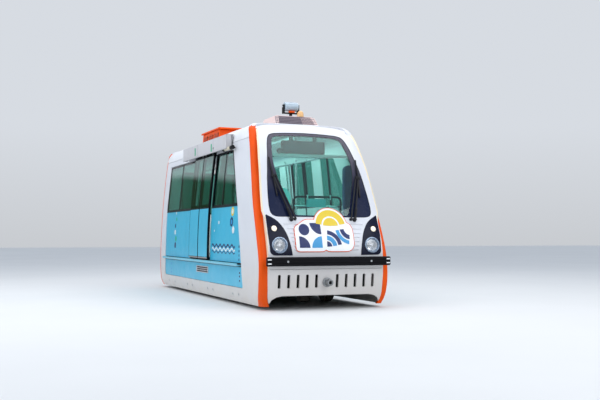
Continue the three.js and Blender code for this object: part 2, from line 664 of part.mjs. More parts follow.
// Roof equipment, seated on the roof's own curve
const overRoof = (solidPiece) => solidPiece.subtract(alongX(outline(-SEAT_GAP), -3400, 3400));
function frustum(low, high, z0, z1) {
  const ring = ({ x0, x1, y }, z) => [[x0, -y, z], [x1, -y, z], [x1, y, z], [x0, y, z]];
  return loft([ring(low, z0), ring(high, z1)]);
}
const HOUSING_TOP = 3080;
function noseHousing() {
  const hull = frustum({ x0: 1060, x1: 2110, y: 480 }, { x0: 1110, x1: 2000, y: 335 }, 2880, HOUSING_TOP);
  const dome = turned([[0, 3060], [52, 3060], [52, 3092], [40, 3122], [18, 3134], [0, 3136]], "z", [0, 0, 0], 16);
  const shifted = solidMove(dome, 1850, 215, 0);
  return overRoof(hull).add(shifted);
}
function solidMove(piece, x, y, z) {
  const mesh = piece.getMesh();
  const shape = new THREE.BufferGeometry();
  shape.setAttribute("position", new THREE.BufferAttribute(Float32Array.from(mesh.vertProperties), 3));
  shape.setIndex(new THREE.BufferAttribute(Uint32Array.from(mesh.triVerts), 1));
  return solid(shape.translate(x, y, z));
}
function roofLamp() {
  const line = [[0, -172], [88, -172], [88, -142], [76, -140], [78, 0], [76, 140], [88, 142], [88, 172], [0, 172]];
  const drum = turned(line, "y", [1840, 0, 3237], 24);
  const foot = join(box(1790, 1890, -60, 60, HOUSING_TOP + SEAT_GAP, 3110), box(1815, 1865, -45, 45, 3100, 3175));
  return drum.add(foot);
}
function airCon(x0, x1) {
  const lower = { x0, x1, y: 470 };
  const upper = { x0: x0 + 70, x1: x1 - 70, y: 400 };
  const top = { x0: x0 + 170, x1: x1 - 170, y: 300 };
  const ring = ({ x0: a, x1: b, y }, z) => [
    [a, -y + 60, z], [a + 60, -y, z], [b - 60, -y, z], [b, -y + 60, z],
    [b, y - 60, z], [b - 60, y, z], [a + 60, y, z], [a, y - 60, z],
  ];
  return overRoof(loft([ring(lower, 2880), ring(lower, 2960), ring(upper, 3030), ring(top, 3052)]));
}
function tailHousing() {
  const hull = frustum({ x0: -2470, x1: -1620, y: 410 }, { x0: -2470, x1: -1620, y: 392 }, 2880, 3226);
  const lid = box(-2500, -1590, -425, 425, 3218, 3250);
  return overRoof(hull).add(lid);
}

// Inside: benches, grab rails, display, console
function bench(side, x0, x1) {
  const wall = at(SECTION, "y", 1100) - WALL_THICK - 8;
  const section = [
    [wall, FLOOR_Z + SEAT_GAP], [wall - 330, FLOOR_Z + SEAT_GAP], [wall - 330, 1060], [wall - 400, 1080],
    [wall - 400, 1130], [wall - 70, 1105], [wall - 45, 1540], [wall - 22, 1540], [wall - 2, 1200],
  ];
  return alongX(section.map(([y, z]) => [side * y, z]), x0, x1);
}
function grabRails() {
  const [low, high] = [FLOOR_Z + SEAT_GAP, CROWN_Z - WALL_THICK - 15];
  const poles = [[-850, 480], [-850, -480], [850, 480], [850, -480]];
  let made = bar("x", 17, -2300, 2050, 480, 2400, 10).add(bar("x", 17, -2300, 2050, -480, 2400, 10));
  for (const [x, y] of poles) made = made.add(bar("z", 17, low, high, x, y, 10));
  for (const x of [-2250, 2000]) {
    made = made.add(bar("y", 17, -480, 480, x, 2400, 10));
    made = made.add(bar("z", 17, 2400, high, x, 0, 10));
  }
  const rail = { x: 2700, y: 520, z: 1560 };
  made = made.add(bar("x", 17, 850, rail.x, rail.y - 40, 1230, 10));
  made = made.add(bar("x", 17, 850, rail.x, -rail.y + 40, 1230, 10));
  for (const side of [1, -1]) made = made.add(bar("z", 17, low, rail.z, rail.x, side * (rail.y - 40), 10));
  return made.add(bar("y", 17, -rail.y + 40, rail.y - 40, rail.x, rail.z, 10));
}
function displayBox() {
  const x = 2120;
  return join(box(x, x + 90, -480, 330, 2400, 2600), box(x, x + 60, -300, 150, 2595, 2855 - SEAT_GAP));
}
const frontConsole = () =>
  alongY([[3000, FLOOR_Z + SEAT_GAP], [3130, FLOOR_Z + SEAT_GAP], [3130, 1000], [3060, 1260], [2960, 1290], [2940, 1240]], -560, 560);

// The scene graph
const FINISH = {
  white: { color: 0xf2f3f5, roughness: 0.3, metalness: 0.0 },
  blue: { color: 0x5cc3e8, roughness: 0.35, metalness: 0.0 },
  orange: { color: 0xee5410, roughness: 0.35, metalness: 0.0 },
  glass: { color: 0x2f4f4c, roughness: 0.05, metalness: 0.0, transparent: true, opacity: 0.5 },
  navy: { color: 0x1d2438, roughness: 0.3, metalness: 0.0 },
  lamp: { color: 0xe2e8ee, roughness: 0.1, metalness: 0.2 },
  black: { color: 0x101112, roughness: 0.6, metalness: 0.0 },
  steel: { color: 0x8d9196, roughness: 0.45, metalness: 0.9 },
  chassis: { color: 0x2c2e31, roughness: 0.7, metalness: 0.3 },
  tread: { color: 0x3a3230, roughness: 0.8, metalness: 0.1 },
  grey: { color: 0xb9bcc0, roughness: 0.5, metalness: 0.0 },
  seat: { color: 0x2d5f8f, roughness: 0.55, metalness: 0.0 },
  floor: { color: 0x6d7075, roughness: 0.85, metalness: 0.0 },
};
const finishes = Object.fromEntries(
  Object.entries(FINISH).map(([name, look]) => [name, new THREE.MeshStandardMaterial({ name, ...look })]),
);
const car = new THREE.Group();
const piece = (name, finish, made, parent = car) => {
  const mesh = made.getMesh();
  const shape = new THREE.BufferGeometry();
  shape.setAttribute("position", new THREE.BufferAttribute(Float32Array.from(mesh.vertProperties), 3));
  shape.setIndex(new THREE.BufferAttribute(Uint32Array.from(mesh.triVerts), 1));
  shape.computeVertexNormals();
  const node = new THREE.Mesh(shape, finishes[finish]);
  node.name = name;
  parent.add(node);
};
const SIDES = [{ label: "right", side: -1 }, { label: "left", side: 1 }];

piece("roof_shell", "white", roofShell());
piece("nose_mask", "white", noseMask());
piece("rear_wall", "white", rearWall());
piece("windscreen", "glass", windscreen());
piece("rear_window", "glass", rearWindow());
piece("floor_deck", "floor", floorDeck());
piece("underframe", "chassis", underframe());
piece("bumper_bar", "black", bumperBar());
piece("tow_socket", "steel", towSocket());
piece("drawbar", "steel", drawbar());
piece("nose_roof_housing", "orange", noseHousing());
piece("roof_lamp", "steel", roofLamp());
piece("roof_aircon_front", "white", airCon(-160, 860));
piece("roof_aircon_rear", "white", airCon(-1560, -820));
piece("tail_roof_housing", "orange", tailHousing());
piece("grab_rails", "steel", grabRails());
piece("display_box", "black", displayBox());
piece("front_console", "grey", frontConsole());

for (const { label, side } of SIDES) {
  const frames = sideFrames(side);
  piece(`side_wall_${label}`, "white", frames.below);
  piece(`window_frame_${label}`, "white", frames.above);
  piece(`vent_grille_${label}`, "steel", ventGrille(side));
  piece(`door_cover_${label}`, "grey", doorCover(side));
  piece(`rib_front_${label}`, "orange", cornerRib(side, NOSE, NOSE_EDGE, 1));
  piece(`rib_rear_${label}`, "orange", cornerRib(side, TAIL, TAIL_EDGE, -1));
  piece(`lamp_panel_${label}`, "navy", lampPanel(side));
  piece(`headlamps_${label}`, "lamp", headlampCluster(side));
  piece(`wiper_${label}`, "black", wiper(side));
  piece(`bench_rear_${label}`, "seat", bench(side, -2900, -760));
  piece(`bench_front_${label}`, "seat", bench(side, 760, 2350));
  for (const w of Object.values(WINDOWS)) piece(`window_${w.name}_${label}`, "glass", sideGlass(side, w));
  for (const [end, way] of [["front", 1], ["rear", -1]]) {
    piece(`door_${end}_${label}`, "blue", doorLeaf(side, way));
    piece(`door_glass_${end}_${label}`, "glass", doorGlass(side, way));
  }
}
for (const { end, x } of [{ end: "front", x: BOGIE_X }, { end: "rear", x: -BOGIE_X }]) {
  const bogie = new THREE.Group();
  piece(`bogie_frame_${end}`, "chassis", bogieFrame(x, Math.sign(-x)), bogie);
  piece(`wheelset_${end}`, "tread", wheelset(x), bogie);
  piece(`guide_wheel_${end}_a`, "tread", guideWheel(x + GUIDE.x), bogie);
  piece(`guide_wheel_${end}_b`, "tread", guideWheel(x - GUIDE.x), bogie);
  car.add(bogie);
}

export default car;
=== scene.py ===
# %% [markdown]
# # Dressing a small monorail car
#
# The real car is a short passenger vehicle: a moulded shell with thick coloured corner ribs, a raked glass
# nose, doors that hang outside the walls, and small bogies hidden behind deep skirts. A measured model of
# it is loaded first and stays as it is. It says how big each part is and how the doors, wheels and wipers
# move. The pieces made here give it the curves, seams and finishes that the measured model leaves plain.

import json
import math

import bmesh
import bpy
import numpy as np
from mathutils import Matrix, Vector
from mathutils.geometry import delaunay_2d_cdt

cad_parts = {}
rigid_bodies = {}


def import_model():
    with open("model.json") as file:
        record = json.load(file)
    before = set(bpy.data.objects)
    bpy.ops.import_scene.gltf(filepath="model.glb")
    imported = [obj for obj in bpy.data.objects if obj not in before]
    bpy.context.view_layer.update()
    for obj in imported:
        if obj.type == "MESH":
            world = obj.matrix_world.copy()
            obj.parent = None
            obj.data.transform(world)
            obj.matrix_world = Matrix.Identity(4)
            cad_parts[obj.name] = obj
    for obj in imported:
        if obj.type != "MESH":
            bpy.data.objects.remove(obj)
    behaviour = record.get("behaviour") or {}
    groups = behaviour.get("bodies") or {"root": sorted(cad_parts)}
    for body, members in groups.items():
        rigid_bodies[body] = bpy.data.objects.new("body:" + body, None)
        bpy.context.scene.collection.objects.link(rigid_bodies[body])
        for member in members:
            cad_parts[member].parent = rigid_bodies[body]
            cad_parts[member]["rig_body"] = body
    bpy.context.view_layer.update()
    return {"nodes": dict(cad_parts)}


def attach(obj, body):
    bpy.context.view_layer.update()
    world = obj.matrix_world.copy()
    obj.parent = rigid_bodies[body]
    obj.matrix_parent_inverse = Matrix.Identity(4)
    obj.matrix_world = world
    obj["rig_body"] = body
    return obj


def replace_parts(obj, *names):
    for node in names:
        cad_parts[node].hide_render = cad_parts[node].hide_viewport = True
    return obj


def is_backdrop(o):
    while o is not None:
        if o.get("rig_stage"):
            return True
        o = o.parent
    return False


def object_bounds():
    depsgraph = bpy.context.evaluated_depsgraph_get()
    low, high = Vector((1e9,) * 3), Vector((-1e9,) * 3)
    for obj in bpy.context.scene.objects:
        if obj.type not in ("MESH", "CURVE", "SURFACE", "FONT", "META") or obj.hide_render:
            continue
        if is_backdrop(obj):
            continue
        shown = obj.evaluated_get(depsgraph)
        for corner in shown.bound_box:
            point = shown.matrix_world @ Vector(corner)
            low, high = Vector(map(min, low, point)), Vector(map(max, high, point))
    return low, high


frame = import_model()

# %% [markdown]
# ## The camera
#
# The picture was taken from a little below the windows, ahead of the car and off its right side. The lens
# and the place were worked out from the car's own edges, so the camera is set from numbers and not by eye.

# %% Camera
CAMERA = {"place": (15.0, -5.2185, 1.1105), "turn": 67.8, "tilt": 2.35, "roll": 0.1, "lens": 51.0}


def set_camera(place, turn, tilt, roll, lens):
    data = bpy.data.cameras.new("camera")
    data.sensor_width, data.lens = 36.0, lens
    data.clip_start, data.clip_end = 0.1, 200
    camera = bpy.data.objects.new("camera", data)
    bpy.context.scene.collection.objects.link(camera)
    a, p = math.radians(turn), math.radians(tilt)
    ahead = Vector((-math.sin(a) * math.cos(p), math.cos(a) * math.cos(p), math.sin(p)))
    camera.location = place
    facing = ahead.to_track_quat("-Z", "Y").to_matrix().to_4x4()
    camera.rotation_euler = (facing @ Matrix.Rotation(math.radians(roll), 4, "Z")).to_euler()
    bpy.context.scene.camera = camera


set_camera(**CAMERA)
print("camera, metres:", CAMERA["place"], "lens, millimetres:", CAMERA["lens"])

# %% [markdown]
# ## Curves that the whole body follows
#
# Every panel of the car lies on one of three surfaces: the side and roof, whose outline is the same along
# the whole car, the raked nose, and the flat coupling end. Each is stored as a few measured points. A smooth
# curve through them keeps reflections clean, where straight steps between them would show as facets.


# %% Smooth lines
def smooth_line(points, step=0.008):
    """A smooth curve through points, as evenly spaced samples."""
    p = np.array(points, float)
    chord = np.r_[0, np.cumsum(np.linalg.norm(np.diff(p, axis=0), axis=1))]
    slope = np.gradient(p, chord, axis=0)
    s = np.linspace(0, chord[-1], max(2, int(chord[-1] / step)))
    i = np.clip(np.searchsorted(chord, s, "right") - 1, 0, len(p) - 2)
    h = (chord[i + 1] - chord[i])[:, None]
    u = ((s - chord[i])[:, None]) / h
    return (
        (2 * u**3 - 3 * u**2 + 1) * p[i]
        + (u**3 - 2 * u**2 + u) * h * slope[i]
        + (3 * u**2 - 2 * u**3) * p[i + 1]
        + (u**3 - u**2) * h * slope[i + 1]
    )


WALL = [(0.05, 1.0), (0.15, 1.036), (0.31, 1.052), (0.68, 1.055), (1.1, 1.049), (1.585, 1.026), (2.1, 0.978),
        (2.65, 0.918)]
NOSE = [
    (0.05, 3.215), (0.2, 3.262), (0.4, 3.288), (0.65, 3.312), (0.85, 3.303), (1.0, 3.276), (1.15, 3.228), (1.3, 3.165),
    (1.36, 3.1388), (1.5, 3.0778), (2.0, 2.8597), (2.1, 2.816), (2.2, 2.765), (2.35, 2.678), (2.5, 2.58),
    (2.62, 2.49), (2.68, 2.444), (2.74, 2.398), (2.8, 2.345), (2.86, 2.275), (2.9, 2.18), (2.914, 2.085), (2.92, 1.98),
]
NOSE_EDGE = [
    (0.05, 3.045), (0.13, 3.115), (0.31, 3.185), (0.68, 3.208), (1.1, 3.075), (1.6, 2.84), (2.15, 2.592),
    (2.65, 2.34), (2.75, 2.275), (2.83, 2.2), (2.892, 2.1), (2.92, 2.0),
]
RIB_FACE = [
    (0.05, 3.19), (0.2, 3.24), (0.32, 3.27), (0.5, 3.276), (0.76, 3.248), (1.03, 3.166), (1.23, 3.079),
    (1.84, 2.829), (2.22, 2.632), (2.75, 2.342), (2.795, 2.315),
]
TAIL = [
    (0.05, -3.15), (0.13, -3.182), (0.25, -3.19), (0.6, -3.19), (1.6, -3.19), (2.68, -3.19), (2.74, -3.188),
    (2.83, -3.168), (2.89, -3.105), (2.914, -3.02), (2.92, -2.9),
]
TAIL_EDGE = [
    (0.05, -3.015), (0.11, -3.075), (0.22, -3.1), (1.4, -3.1), (2.7, -3.1), (2.8, -3.085), (2.87, -3.04),
    (2.92, -2.94),
]


WALL_TOP = WALL[-1][0]  # where the wall ends and the turn to the roof begins


def reader(table):
    """Reads x, or half width, at a height from a table of (height, value)."""
    line = smooth_line(table)
    return lambda z: np.interp(z, line[:, 0], line[:, 1])


half = reader(WALL)
nose_edge, tail_edge = reader(NOSE_EDGE), reader(TAIL_EDGE)
nose_x, rib_face = reader(NOSE), reader(RIB_FACE)
print("half width at the sill and under the roof:", round(float(half(0.68)), 3), round(float(half(2.6)), 3))

# %% [markdown]
# ## Three surfaces as functions
#
# Each surface is a function from two flat coordinates and a depth to a point in space. A panel is then drawn
# flat, like a pattern on paper, and laid on its surface. That keeps a window and the rubber round it in step.

# %% Surfaces
SHOULDER = {"y": 0.74, "z": WALL_TOP, "wide": 0.178, "high": 0.242}
CROWN = 2.92  # height of the roof on the middle line
FOLD_Z = 2.7  # above this height an end face is measured by the way run over its top
FOLD = {"inset": 0.12, "bend": 0.15, "ease": 0.17, "ease_drop": 0.35, "crown_drop": 0.028}


def outline_points():
    """The body's outline from the middle of the roof down one side, as (y, z)."""
    edge = SHOULDER["z"] + SHOULDER["high"]
    roof = [(SHOULDER["y"] * f, edge + (CROWN - edge) * (1 - f * f)) for f in np.linspace(0, 0.93, 14)]
    turn = np.linspace(math.pi / 2 * 0.94, 0.06, 14)
    bend = [(SHOULDER["y"] + SHOULDER["wide"] * math.cos(t), SHOULDER["z"] + SHOULDER["high"] * math.sin(t))
            for t in turn]
    down = [(float(half(z)), z) for z in np.linspace(2.64, 0.05, 60)]
    return smooth_line(roof + bend + down, 0.01)


OUTLINE = outline_points()
OUTLINE_RUN = np.r_[0, np.cumsum(np.linalg.norm(np.diff(OUTLINE, axis=0), axis=1))]
OUTLINE_OUT = np.gradient(OUTLINE, axis=0)[:, ::-1] * (-1, 1)
OUTLINE_OUT /= np.linalg.norm(OUTLINE_OUT, axis=1)[:, None]


def over_roof(x, a, depth=0.0):
    """A point on the roof and sides: x along the car, a along the outline from the middle of the roof."""
    x, a = np.broadcast_arrays(np.asarray(x, float), np.asarray(a, float))
    way = np.sign(a) + (a == 0)
    point = [np.interp(np.abs(a), OUTLINE_RUN, OUTLINE[:, k]) for k in (0, 1)]
    out = [np.interp(np.abs(a), OUTLINE_RUN, OUTLINE_OUT[:, k]) for k in (0, 1)]
    return np.stack([x, way * (point[0] - depth * out[0]), point[1] - depth * out[1]], -1)


def on_side(side):
    """The side wall as a surface: x along the car and z up."""

    def where(x, z, depth=0.0):
        x, z = np.broadcast_arrays(np.asarray(x, float), np.asarray(z, float))
        return np.stack([x, side * (half(np.minimum(z, WALL_TOP)) - depth), z], -1)

    return where


def on_end(table, way):
    """An end of the car as a surface: y across, and t the height, or the way run over the top above FOLD_Z."""
    line = smooth_line([(x, z) for z, x in table], 0.006)
    run = np.r_[0, np.cumsum(np.linalg.norm(np.diff(line, axis=0), axis=1))]
    top = np.interp(FOLD_Z, line[:, 1], run)
    t_of = np.where(line[:, 1] < FOLD_Z, line[:, 1], FOLD_Z + run - top)
    along = np.gradient(line, axis=0)
    out = np.stack([along[:, 1], -along[:, 0]], -1) * way
    out /= np.linalg.norm(out, axis=1)[:, None]
    out[:, 1] = np.abs(out[:, 1]) * np.where(line[:, 1] > FOLD_Z, 1, np.sign(out[:, 1]))

    def where(y, t, depth=0.0):
        y, t = np.broadcast_arrays(np.asarray(y, float), np.asarray(t, float))
        px, pz, nx, nz = (np.interp(t, t_of, v) for v in (line[:, 0], line[:, 1], out[:, 0], out[:, 1]))
        bend = FOLD["bend"]
        high = np.clip((t - FOLD_Z) / 0.15, 0, 1)
        flat = (half(np.minimum(pz, WALL_TOP)) - FOLD["inset"]) * (1 - high) + SHOULDER["y"] * high
        turn = np.minimum(np.maximum(np.abs(y) - flat, 0) / bend, math.pi / 2)
        across = np.minimum(np.abs(y), flat) + bend * np.sin(turn)
        ease = np.maximum(np.abs(y) - (flat - FOLD["ease"]), 0)
        drop = bend * (1 - np.cos(turn)) + FOLD["ease_drop"] * np.minimum(ease, FOLD["ease"]) ** 2
        drop = drop + FOLD["crown_drop"] * high * (np.minimum(np.abs(y), flat) / SHOULDER["y"]) ** 2 + depth
        return np.stack([px - nx * drop, np.sign(y) * across, pz - nz * drop], -1)

    where.top = float(t_of[-1])
    where.at = lambda z: float(np.interp(z, line[:, 1], t_of))
    return where


on_nose, on_tail = on_end(NOSE, 1), on_end(TAIL, -1)
print("run over the nose's top, metres:", round(on_nose.top - FOLD_Z, 3))

# %% [markdown]
# ## Laying a flat pattern on a surface
#
# A panel with holes could be cut with boolean modifiers, but they leave long thin faces on curved sheets.
# Here the flat pattern is filled with an even net of triangles that stops at the outline and at each hole.
# The net is laid on the surface twice, at two depths, and closed round the edges, which gives a real sheet
# with a thickness. A small bevel then catches the light along every edge.


# %% Pattern tools
def loop_points(points, step):
    """A closed outline with points added so that no edge is longer than step."""
    out = []
    for a, b in zip(points, points[1:] + points[:1]):
        n = max(1, math.ceil(math.dist(a, b) / step))
        out += [(a[0] + (b[0] - a[0]) * i / n, a[1] + (b[1] - a[1]) * i / n) for i in range(n)]
    return out


def inside(points, loop):
    """Which points lie in a closed loop."""
    x, y = points[:, 0], points[:, 1]
    hit = np.zeros(len(points), bool)
    for (x0, y0), (x1, y1) in zip(loop, loop[1:] + loop[:1]):
        if y0 != y1:
            hit ^= ((y0 > y) != (y1 > y)) & (x < (x1 - x0) * (y - y0) / (y1 - y0) + x0)
    return hit


def near(points, loop, reach):
    """Which points lie closer than reach to a closed loop."""
    a = np.array(loop)
    b = np.roll(a, -1, 0)
    close = np.zeros(len(points), bool)
    for p, q in zip(a, b):
        d = q - p
        share = np.clip(((points - p) @ d) / max(d @ d, 1e-12), 0, 1)
        close |= np.linalg.norm(points - p - share[:, None] * d, axis=1) < reach
    return close


def net(outline, holes, step):
    """Triangles that fill an outline, leaving its holes open."""
    loops = [loop_points(list(loop), step) for loop in [outline, *holes]]
    edge = np.array(loops[0])
    low, high = edge.min(0), edge.max(0)
    gx, gy = (np.arange(low[k] + step / 2, high[k], step) for k in (0, 1))
    grid = np.array([(x + (j % 2) * step / 2, y) for j, y in enumerate(gy) for x in gx]).reshape(-1, 2)
    keep = inside(grid, loops[0])
    for loop in loops[1:]:
        keep &= ~inside(grid, loop)
    grid = grid[keep]
    for loop in loops:
        grid = grid[~near(grid, loop, step * 0.45)]
    verts, edges = [], []
    for loop in loops:
        n = len(verts)
        verts += loop
        edges += [(n + i, n + (i + 1) % len(loop)) for i in range(len(loop))]
    verts += [tuple(p) for p in grid]
    made = delaunay_2d_cdt([Vector(v) for v in verts], edges, [], 0, 1e-7)
    points, faces = np.array([tuple(v) for v in made[0]]), [f for f in made[2] if len(f) == 3]
    centres = points[np.array(faces)].mean(1)
    keep = inside(centres, loops[0])
    for loop in loops[1:]:
        keep &= ~inside(centres, loop)
    return points, [f for f, k in zip(faces, keep) if k]


def rounded(points, radius, steps=5):
    """A closed outline whose corners are turned with a radius, or with one radius for each corner."""
    out, n = [], len(points)
    for i in range(n):
        p, c, q = (Vector(points[k % n]) for k in (i - 1, i, i + 1))
        r = radius[i] if isinstance(radius, (list, tuple)) else radius
        a, b = (p - c), (q - c)
        reach = min(r, a.length * 0.49, b.length * 0.49)
        if reach < 1e-5:
            out.append(tuple(c))
            continue
        start, end = c + a.normalized() * reach, c + b.normalized() * reach
        for k in range(steps + 1):
            u = k / steps
            out.append(tuple(start * (1 - u) ** 2 + c * 2 * u * (1 - u) + end * u * u))
    return out


def grow(points, by):
    """A closed outline moved out by a distance, or in when it is negative."""
    p = np.array(points, float)
    d = np.roll(p, -1, 0) - p
    d = d / np.maximum(np.linalg.norm(d, axis=1), 1e-9)[:, None]
    turn = np.sign(np.sum(p[:, 0] * np.roll(p[:, 1], -1) - p[:, 1] * np.roll(p[:, 0], -1)))
    normal = np.stack([d[:, 1], -d[:, 0]], -1) * turn
    mean = normal + np.roll(normal, 1, 0)
    mean /= np.maximum(np.linalg.norm(mean, axis=1), 1e-9)[:, None]
    share = np.maximum((mean * normal).sum(1), 0.4)
    return [tuple(v) for v in p + mean * (by / share)[:, None]]


def mirrored(half_line):
    """A closed outline from its right half, which starts and ends on the middle line."""
    return half_line + [(-y, z) for y, z in half_line[::-1] if y > 1e-6]


def circle(y, z, r, n=36):
    return [(y + r * math.cos(2 * math.pi * i / n), z + r * math.sin(2 * math.pi * i / n)) for i in range(n)]


print("points of a rounded square:", len(rounded([(0, 0), (1, 0), (1, 1), (0, 1)], 0.1)))

# %% [markdown]
# ## Making a piece
#
# Most of the car is one of four forms: a sheet on a surface, a turned piece such as a wheel or a bolt, a bar
# of one section along a path, or a block. Each has a function that makes the mesh, gives it a finish and
# ties it to the body that it moves with. Small pieces that sit together are joined to one object.

# %% Object tools
MADE = {"pieces": 0, "triangles": 0}
BOX_FACES = [(3, 2, 1, 0), (4, 5, 6, 7), (0, 1, 5, 4), (1, 2, 6, 5), (2, 3, 7, 6), (3, 0, 4, 7)]


def keep_mesh(name, verts, faces, material, body="car", edge=0.0, smooth=35, segments=2):
    """A mesh object from points and faces, shaded smooth with sharp corners kept, riding on a body."""
    mesh = bpy.data.meshes.new(name)
    mesh.from_pydata([tuple(map(float, v)) for v in verts], [], [tuple(map(int, f)) for f in faces])
    mesh.validate()
    piece = bpy.data.objects.new(name, mesh)
    bpy.context.scene.collection.objects.link(piece)
    mesh.materials.append(material)
    mesh.shade_smooth()
    mesh.set_sharp_from_angle(angle=math.radians(smooth))
    if edge > 0:
        bevel = piece.modifiers.new("soft edges", "BEVEL")
        bevel.width, bevel.segments, bevel.limit_method = edge, segments, "ANGLE"
        bevel.angle_limit, bevel.harden_normals = math.radians(40), True
    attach(piece, body)
    MADE["pieces"] += 1
    MADE["triangles"] += sum(len(f) - 2 for f in faces)
    return piece


def skin(name, where, outline, material, holes=(), depth=0.0, thick=0.01, step=0.06, edge=0.0015, body="car"):
    """A sheet with holes, laid on a surface."""
    points, faces = net(outline, holes, step)
    outer = where(points[:, 0], points[:, 1], depth)
    inner = where(points[:, 0], points[:, 1], depth + thick)
    n = len(points)
    f = np.array(faces)
    a, b, c = (outer[f[:, k]] for k in range(3))
    if ((np.cross(b - a, c - a)) * (outer - inner)[f[:, 0]]).sum() < 0:
        f = f[:, ::-1]
    used = {}
    for tri in f:
        for k in range(3):
            used[(tri[k], tri[(k + 1) % 3])] = True
    rim = [(j, i, i + n, j + n) for i, j in used if (j, i) not in used]
    all_faces = [tuple(t) for t in f] + [tuple(t + n) for t in f[:, ::-1]] + rim
    return keep_mesh(name, np.vstack([outer, inner]), all_faces, material, body, edge)


def join(name, pieces):
    """Several pieces as one object."""
    first = pieces[0]
    bm = bmesh.new()
    graph = bpy.context.evaluated_depsgraph_get()
    slots = []
    for piece in pieces:
        material = piece.data.materials[0]
        if material not in slots:
            slots.append(material)
        start = len(bm.faces)
        bm.from_mesh(piece.evaluated_get(graph).to_mesh())
        bm.faces.ensure_lookup_table()
        for face in bm.faces[start:]:
            face.material_index = slots.index(material)
    body = first["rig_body"]
    mesh = bpy.data.meshes.new(name)
    bm.to_mesh(mesh)
    bm.free()
    for piece in pieces:
        bpy.data.objects.remove(piece)
    for material in slots:
        mesh.materials.append(material)
    joined = bpy.data.objects.new(name, mesh)
    bpy.context.scene.collection.objects.link(joined)
    MADE["pieces"] -= len(pieces) - 1
    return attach(joined, body)


def block(name, corner, opposite, material, body="car", edge=0.004):
    """A box with soft edges between two opposite corners, given in any order."""
    (x0, x1), (y0, y1), (z0, z1) = (sorted(pair) for pair in zip(corner, opposite))
    base = [(x0, y0), (x1, y0), (x1, y1), (x0, y1)]
    return keep_mesh(name, [(x, y, z) for z in (z0, z1) for x, y in base], BOX_FACES, material, body, edge)


def tidy_normals(piece):
    """Turns every face outwards."""
    bm = bmesh.new()
    bm.from_mesh(piece.data)
    bmesh.ops.recalc_face_normals(bm, faces=bm.faces)
    bm.to_mesh(piece.data)
    bm.free()
    return piece


def loft_faces(rows, n, closed=False):
    """Faces between rows of n points each. The ends are capped, unless the last row meets the first."""
    faces = []
    for r in range(rows - 1 + closed):
        a, b = r * n, (r + 1) % rows * n
        faces += [(a + i, a + (i + 1) % n, b + (i + 1) % n, b + i) for i in range(n)]
    if not closed:
        faces += [tuple(range(n))[::-1], tuple((rows - 1) * n + i for i in range(n))]
    return faces


def turn_piece(name, profile, axis, centre, material, body="car", segments=40):
    """A turned piece: (radius, length) points from the axis back to the axis, round any axis."""
    verts, faces, rings = [], [], []
    for r, l in profile:
        if r < 1e-6:
            rings.append([len(verts)])
            verts.append((l, 0, 0))
        else:
            rings.append(list(range(len(verts), len(verts) + segments)))
            verts += [
                (l, r * math.cos(2 * math.pi * i / segments), r * math.sin(2 * math.pi * i / segments))
                for i in range(segments)
            ]
    for a, b in zip(rings, rings[1:] + ([rings[0]] if len(rings[0]) > 1 else [])):
        for i in range(segments):
            j = (i + 1) % segments
            face = list(dict.fromkeys([a[i % len(a)], b[i % len(b)], b[j % len(b)], a[j % len(a)]]))
            if len(face) > 2:
                faces.append(face)
    along = Vector({"x": (1, 0, 0), "y": (0, 1, 0), "z": (0, 0, 1)}.get(axis, axis)).normalized()
    across = along.orthogonal().normalized()
    third = along.cross(across)
    verts = [tuple(Vector(centre) + along * l + across * p + third * q) for l, p, q in verts]
    return tidy_normals(keep_mesh(name, verts, faces, material, body))


def sweep(name, path, up, section, material, body="car", closed=False, smooth=35):
    """A bar of constant section along a path. up gives the section's own upward direction at each point."""
    path, up = np.array(path, float), np.array(up, float)
    if up.ndim == 1:
        up = np.tile(up, (len(path), 1))
    along = np.gradient(path, axis=0)
    if closed:
        along = np.roll(path, -1, 0) - np.roll(path, 1, 0)
    along /= np.maximum(np.linalg.norm(along, axis=1), 1e-9)[:, None]
    side = np.cross(along, up)
    side /= np.maximum(np.linalg.norm(side, axis=1), 1e-9)[:, None]
    up = np.cross(side, along)
    verts = [path[i] + side[i] * u + up[i] * v for i in range(len(path)) for u, v in section]
    faces = loft_faces(len(path), len(section), closed)
    return tidy_normals(keep_mesh(name, verts, faces, material, body, 0, smooth))


def ring(radius, n=12):
    """A round section for a bar or tube."""
    return [(radius * math.cos(2 * math.pi * i / n), radius * math.sin(2 * math.pi * i / n)) for i in range(n)]


def oblong(u, v):
    """A flat section for a bar, from its half sizes."""
    return [(-u, -v), (u, -v), (u, v), (-u, v)]


def bolt_head(r, rim, top, high, foot=0):
    """Outline of a turned bolt, screw or nut: as wide as r up to the rim, drawn in to top at its full height."""
    return [(0, foot), (r, foot), (r, rim), (top, high), (0, high)]


def tube(name, points, radius, material, body="car", n=12, closed=False):
    """A round tube through points."""
    line = np.array([tuple(Vector(v)) for v in points])
    span = line.max(0) - line.min(0)
    up = np.eye(3)[int(np.argmin(span))] + 0.001
    return sweep(name, line, up, ring(radius, n), material, body, closed, smooth=60)


def dress(*nodes, by):
    """The piece stands for these measured nodes."""
    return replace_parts(by, *nodes)


print("faces of a capped bar with four sides:", len(loft_faces(2, 4)))

# %% [markdown]
# ## Finishes
#
# No surface on a car that works outdoors is one flat colour. Paint is a little uneven in tone and gloss,
# and the skirts carry a film of brown dust from the running gear. Each finish starts from the colour of
# the real part and adds noise at the size that the real unevenness has: broad for tone, fine for grain.
# Everything is made from nodes, with the object's own coordinates, so that it moves with the part.


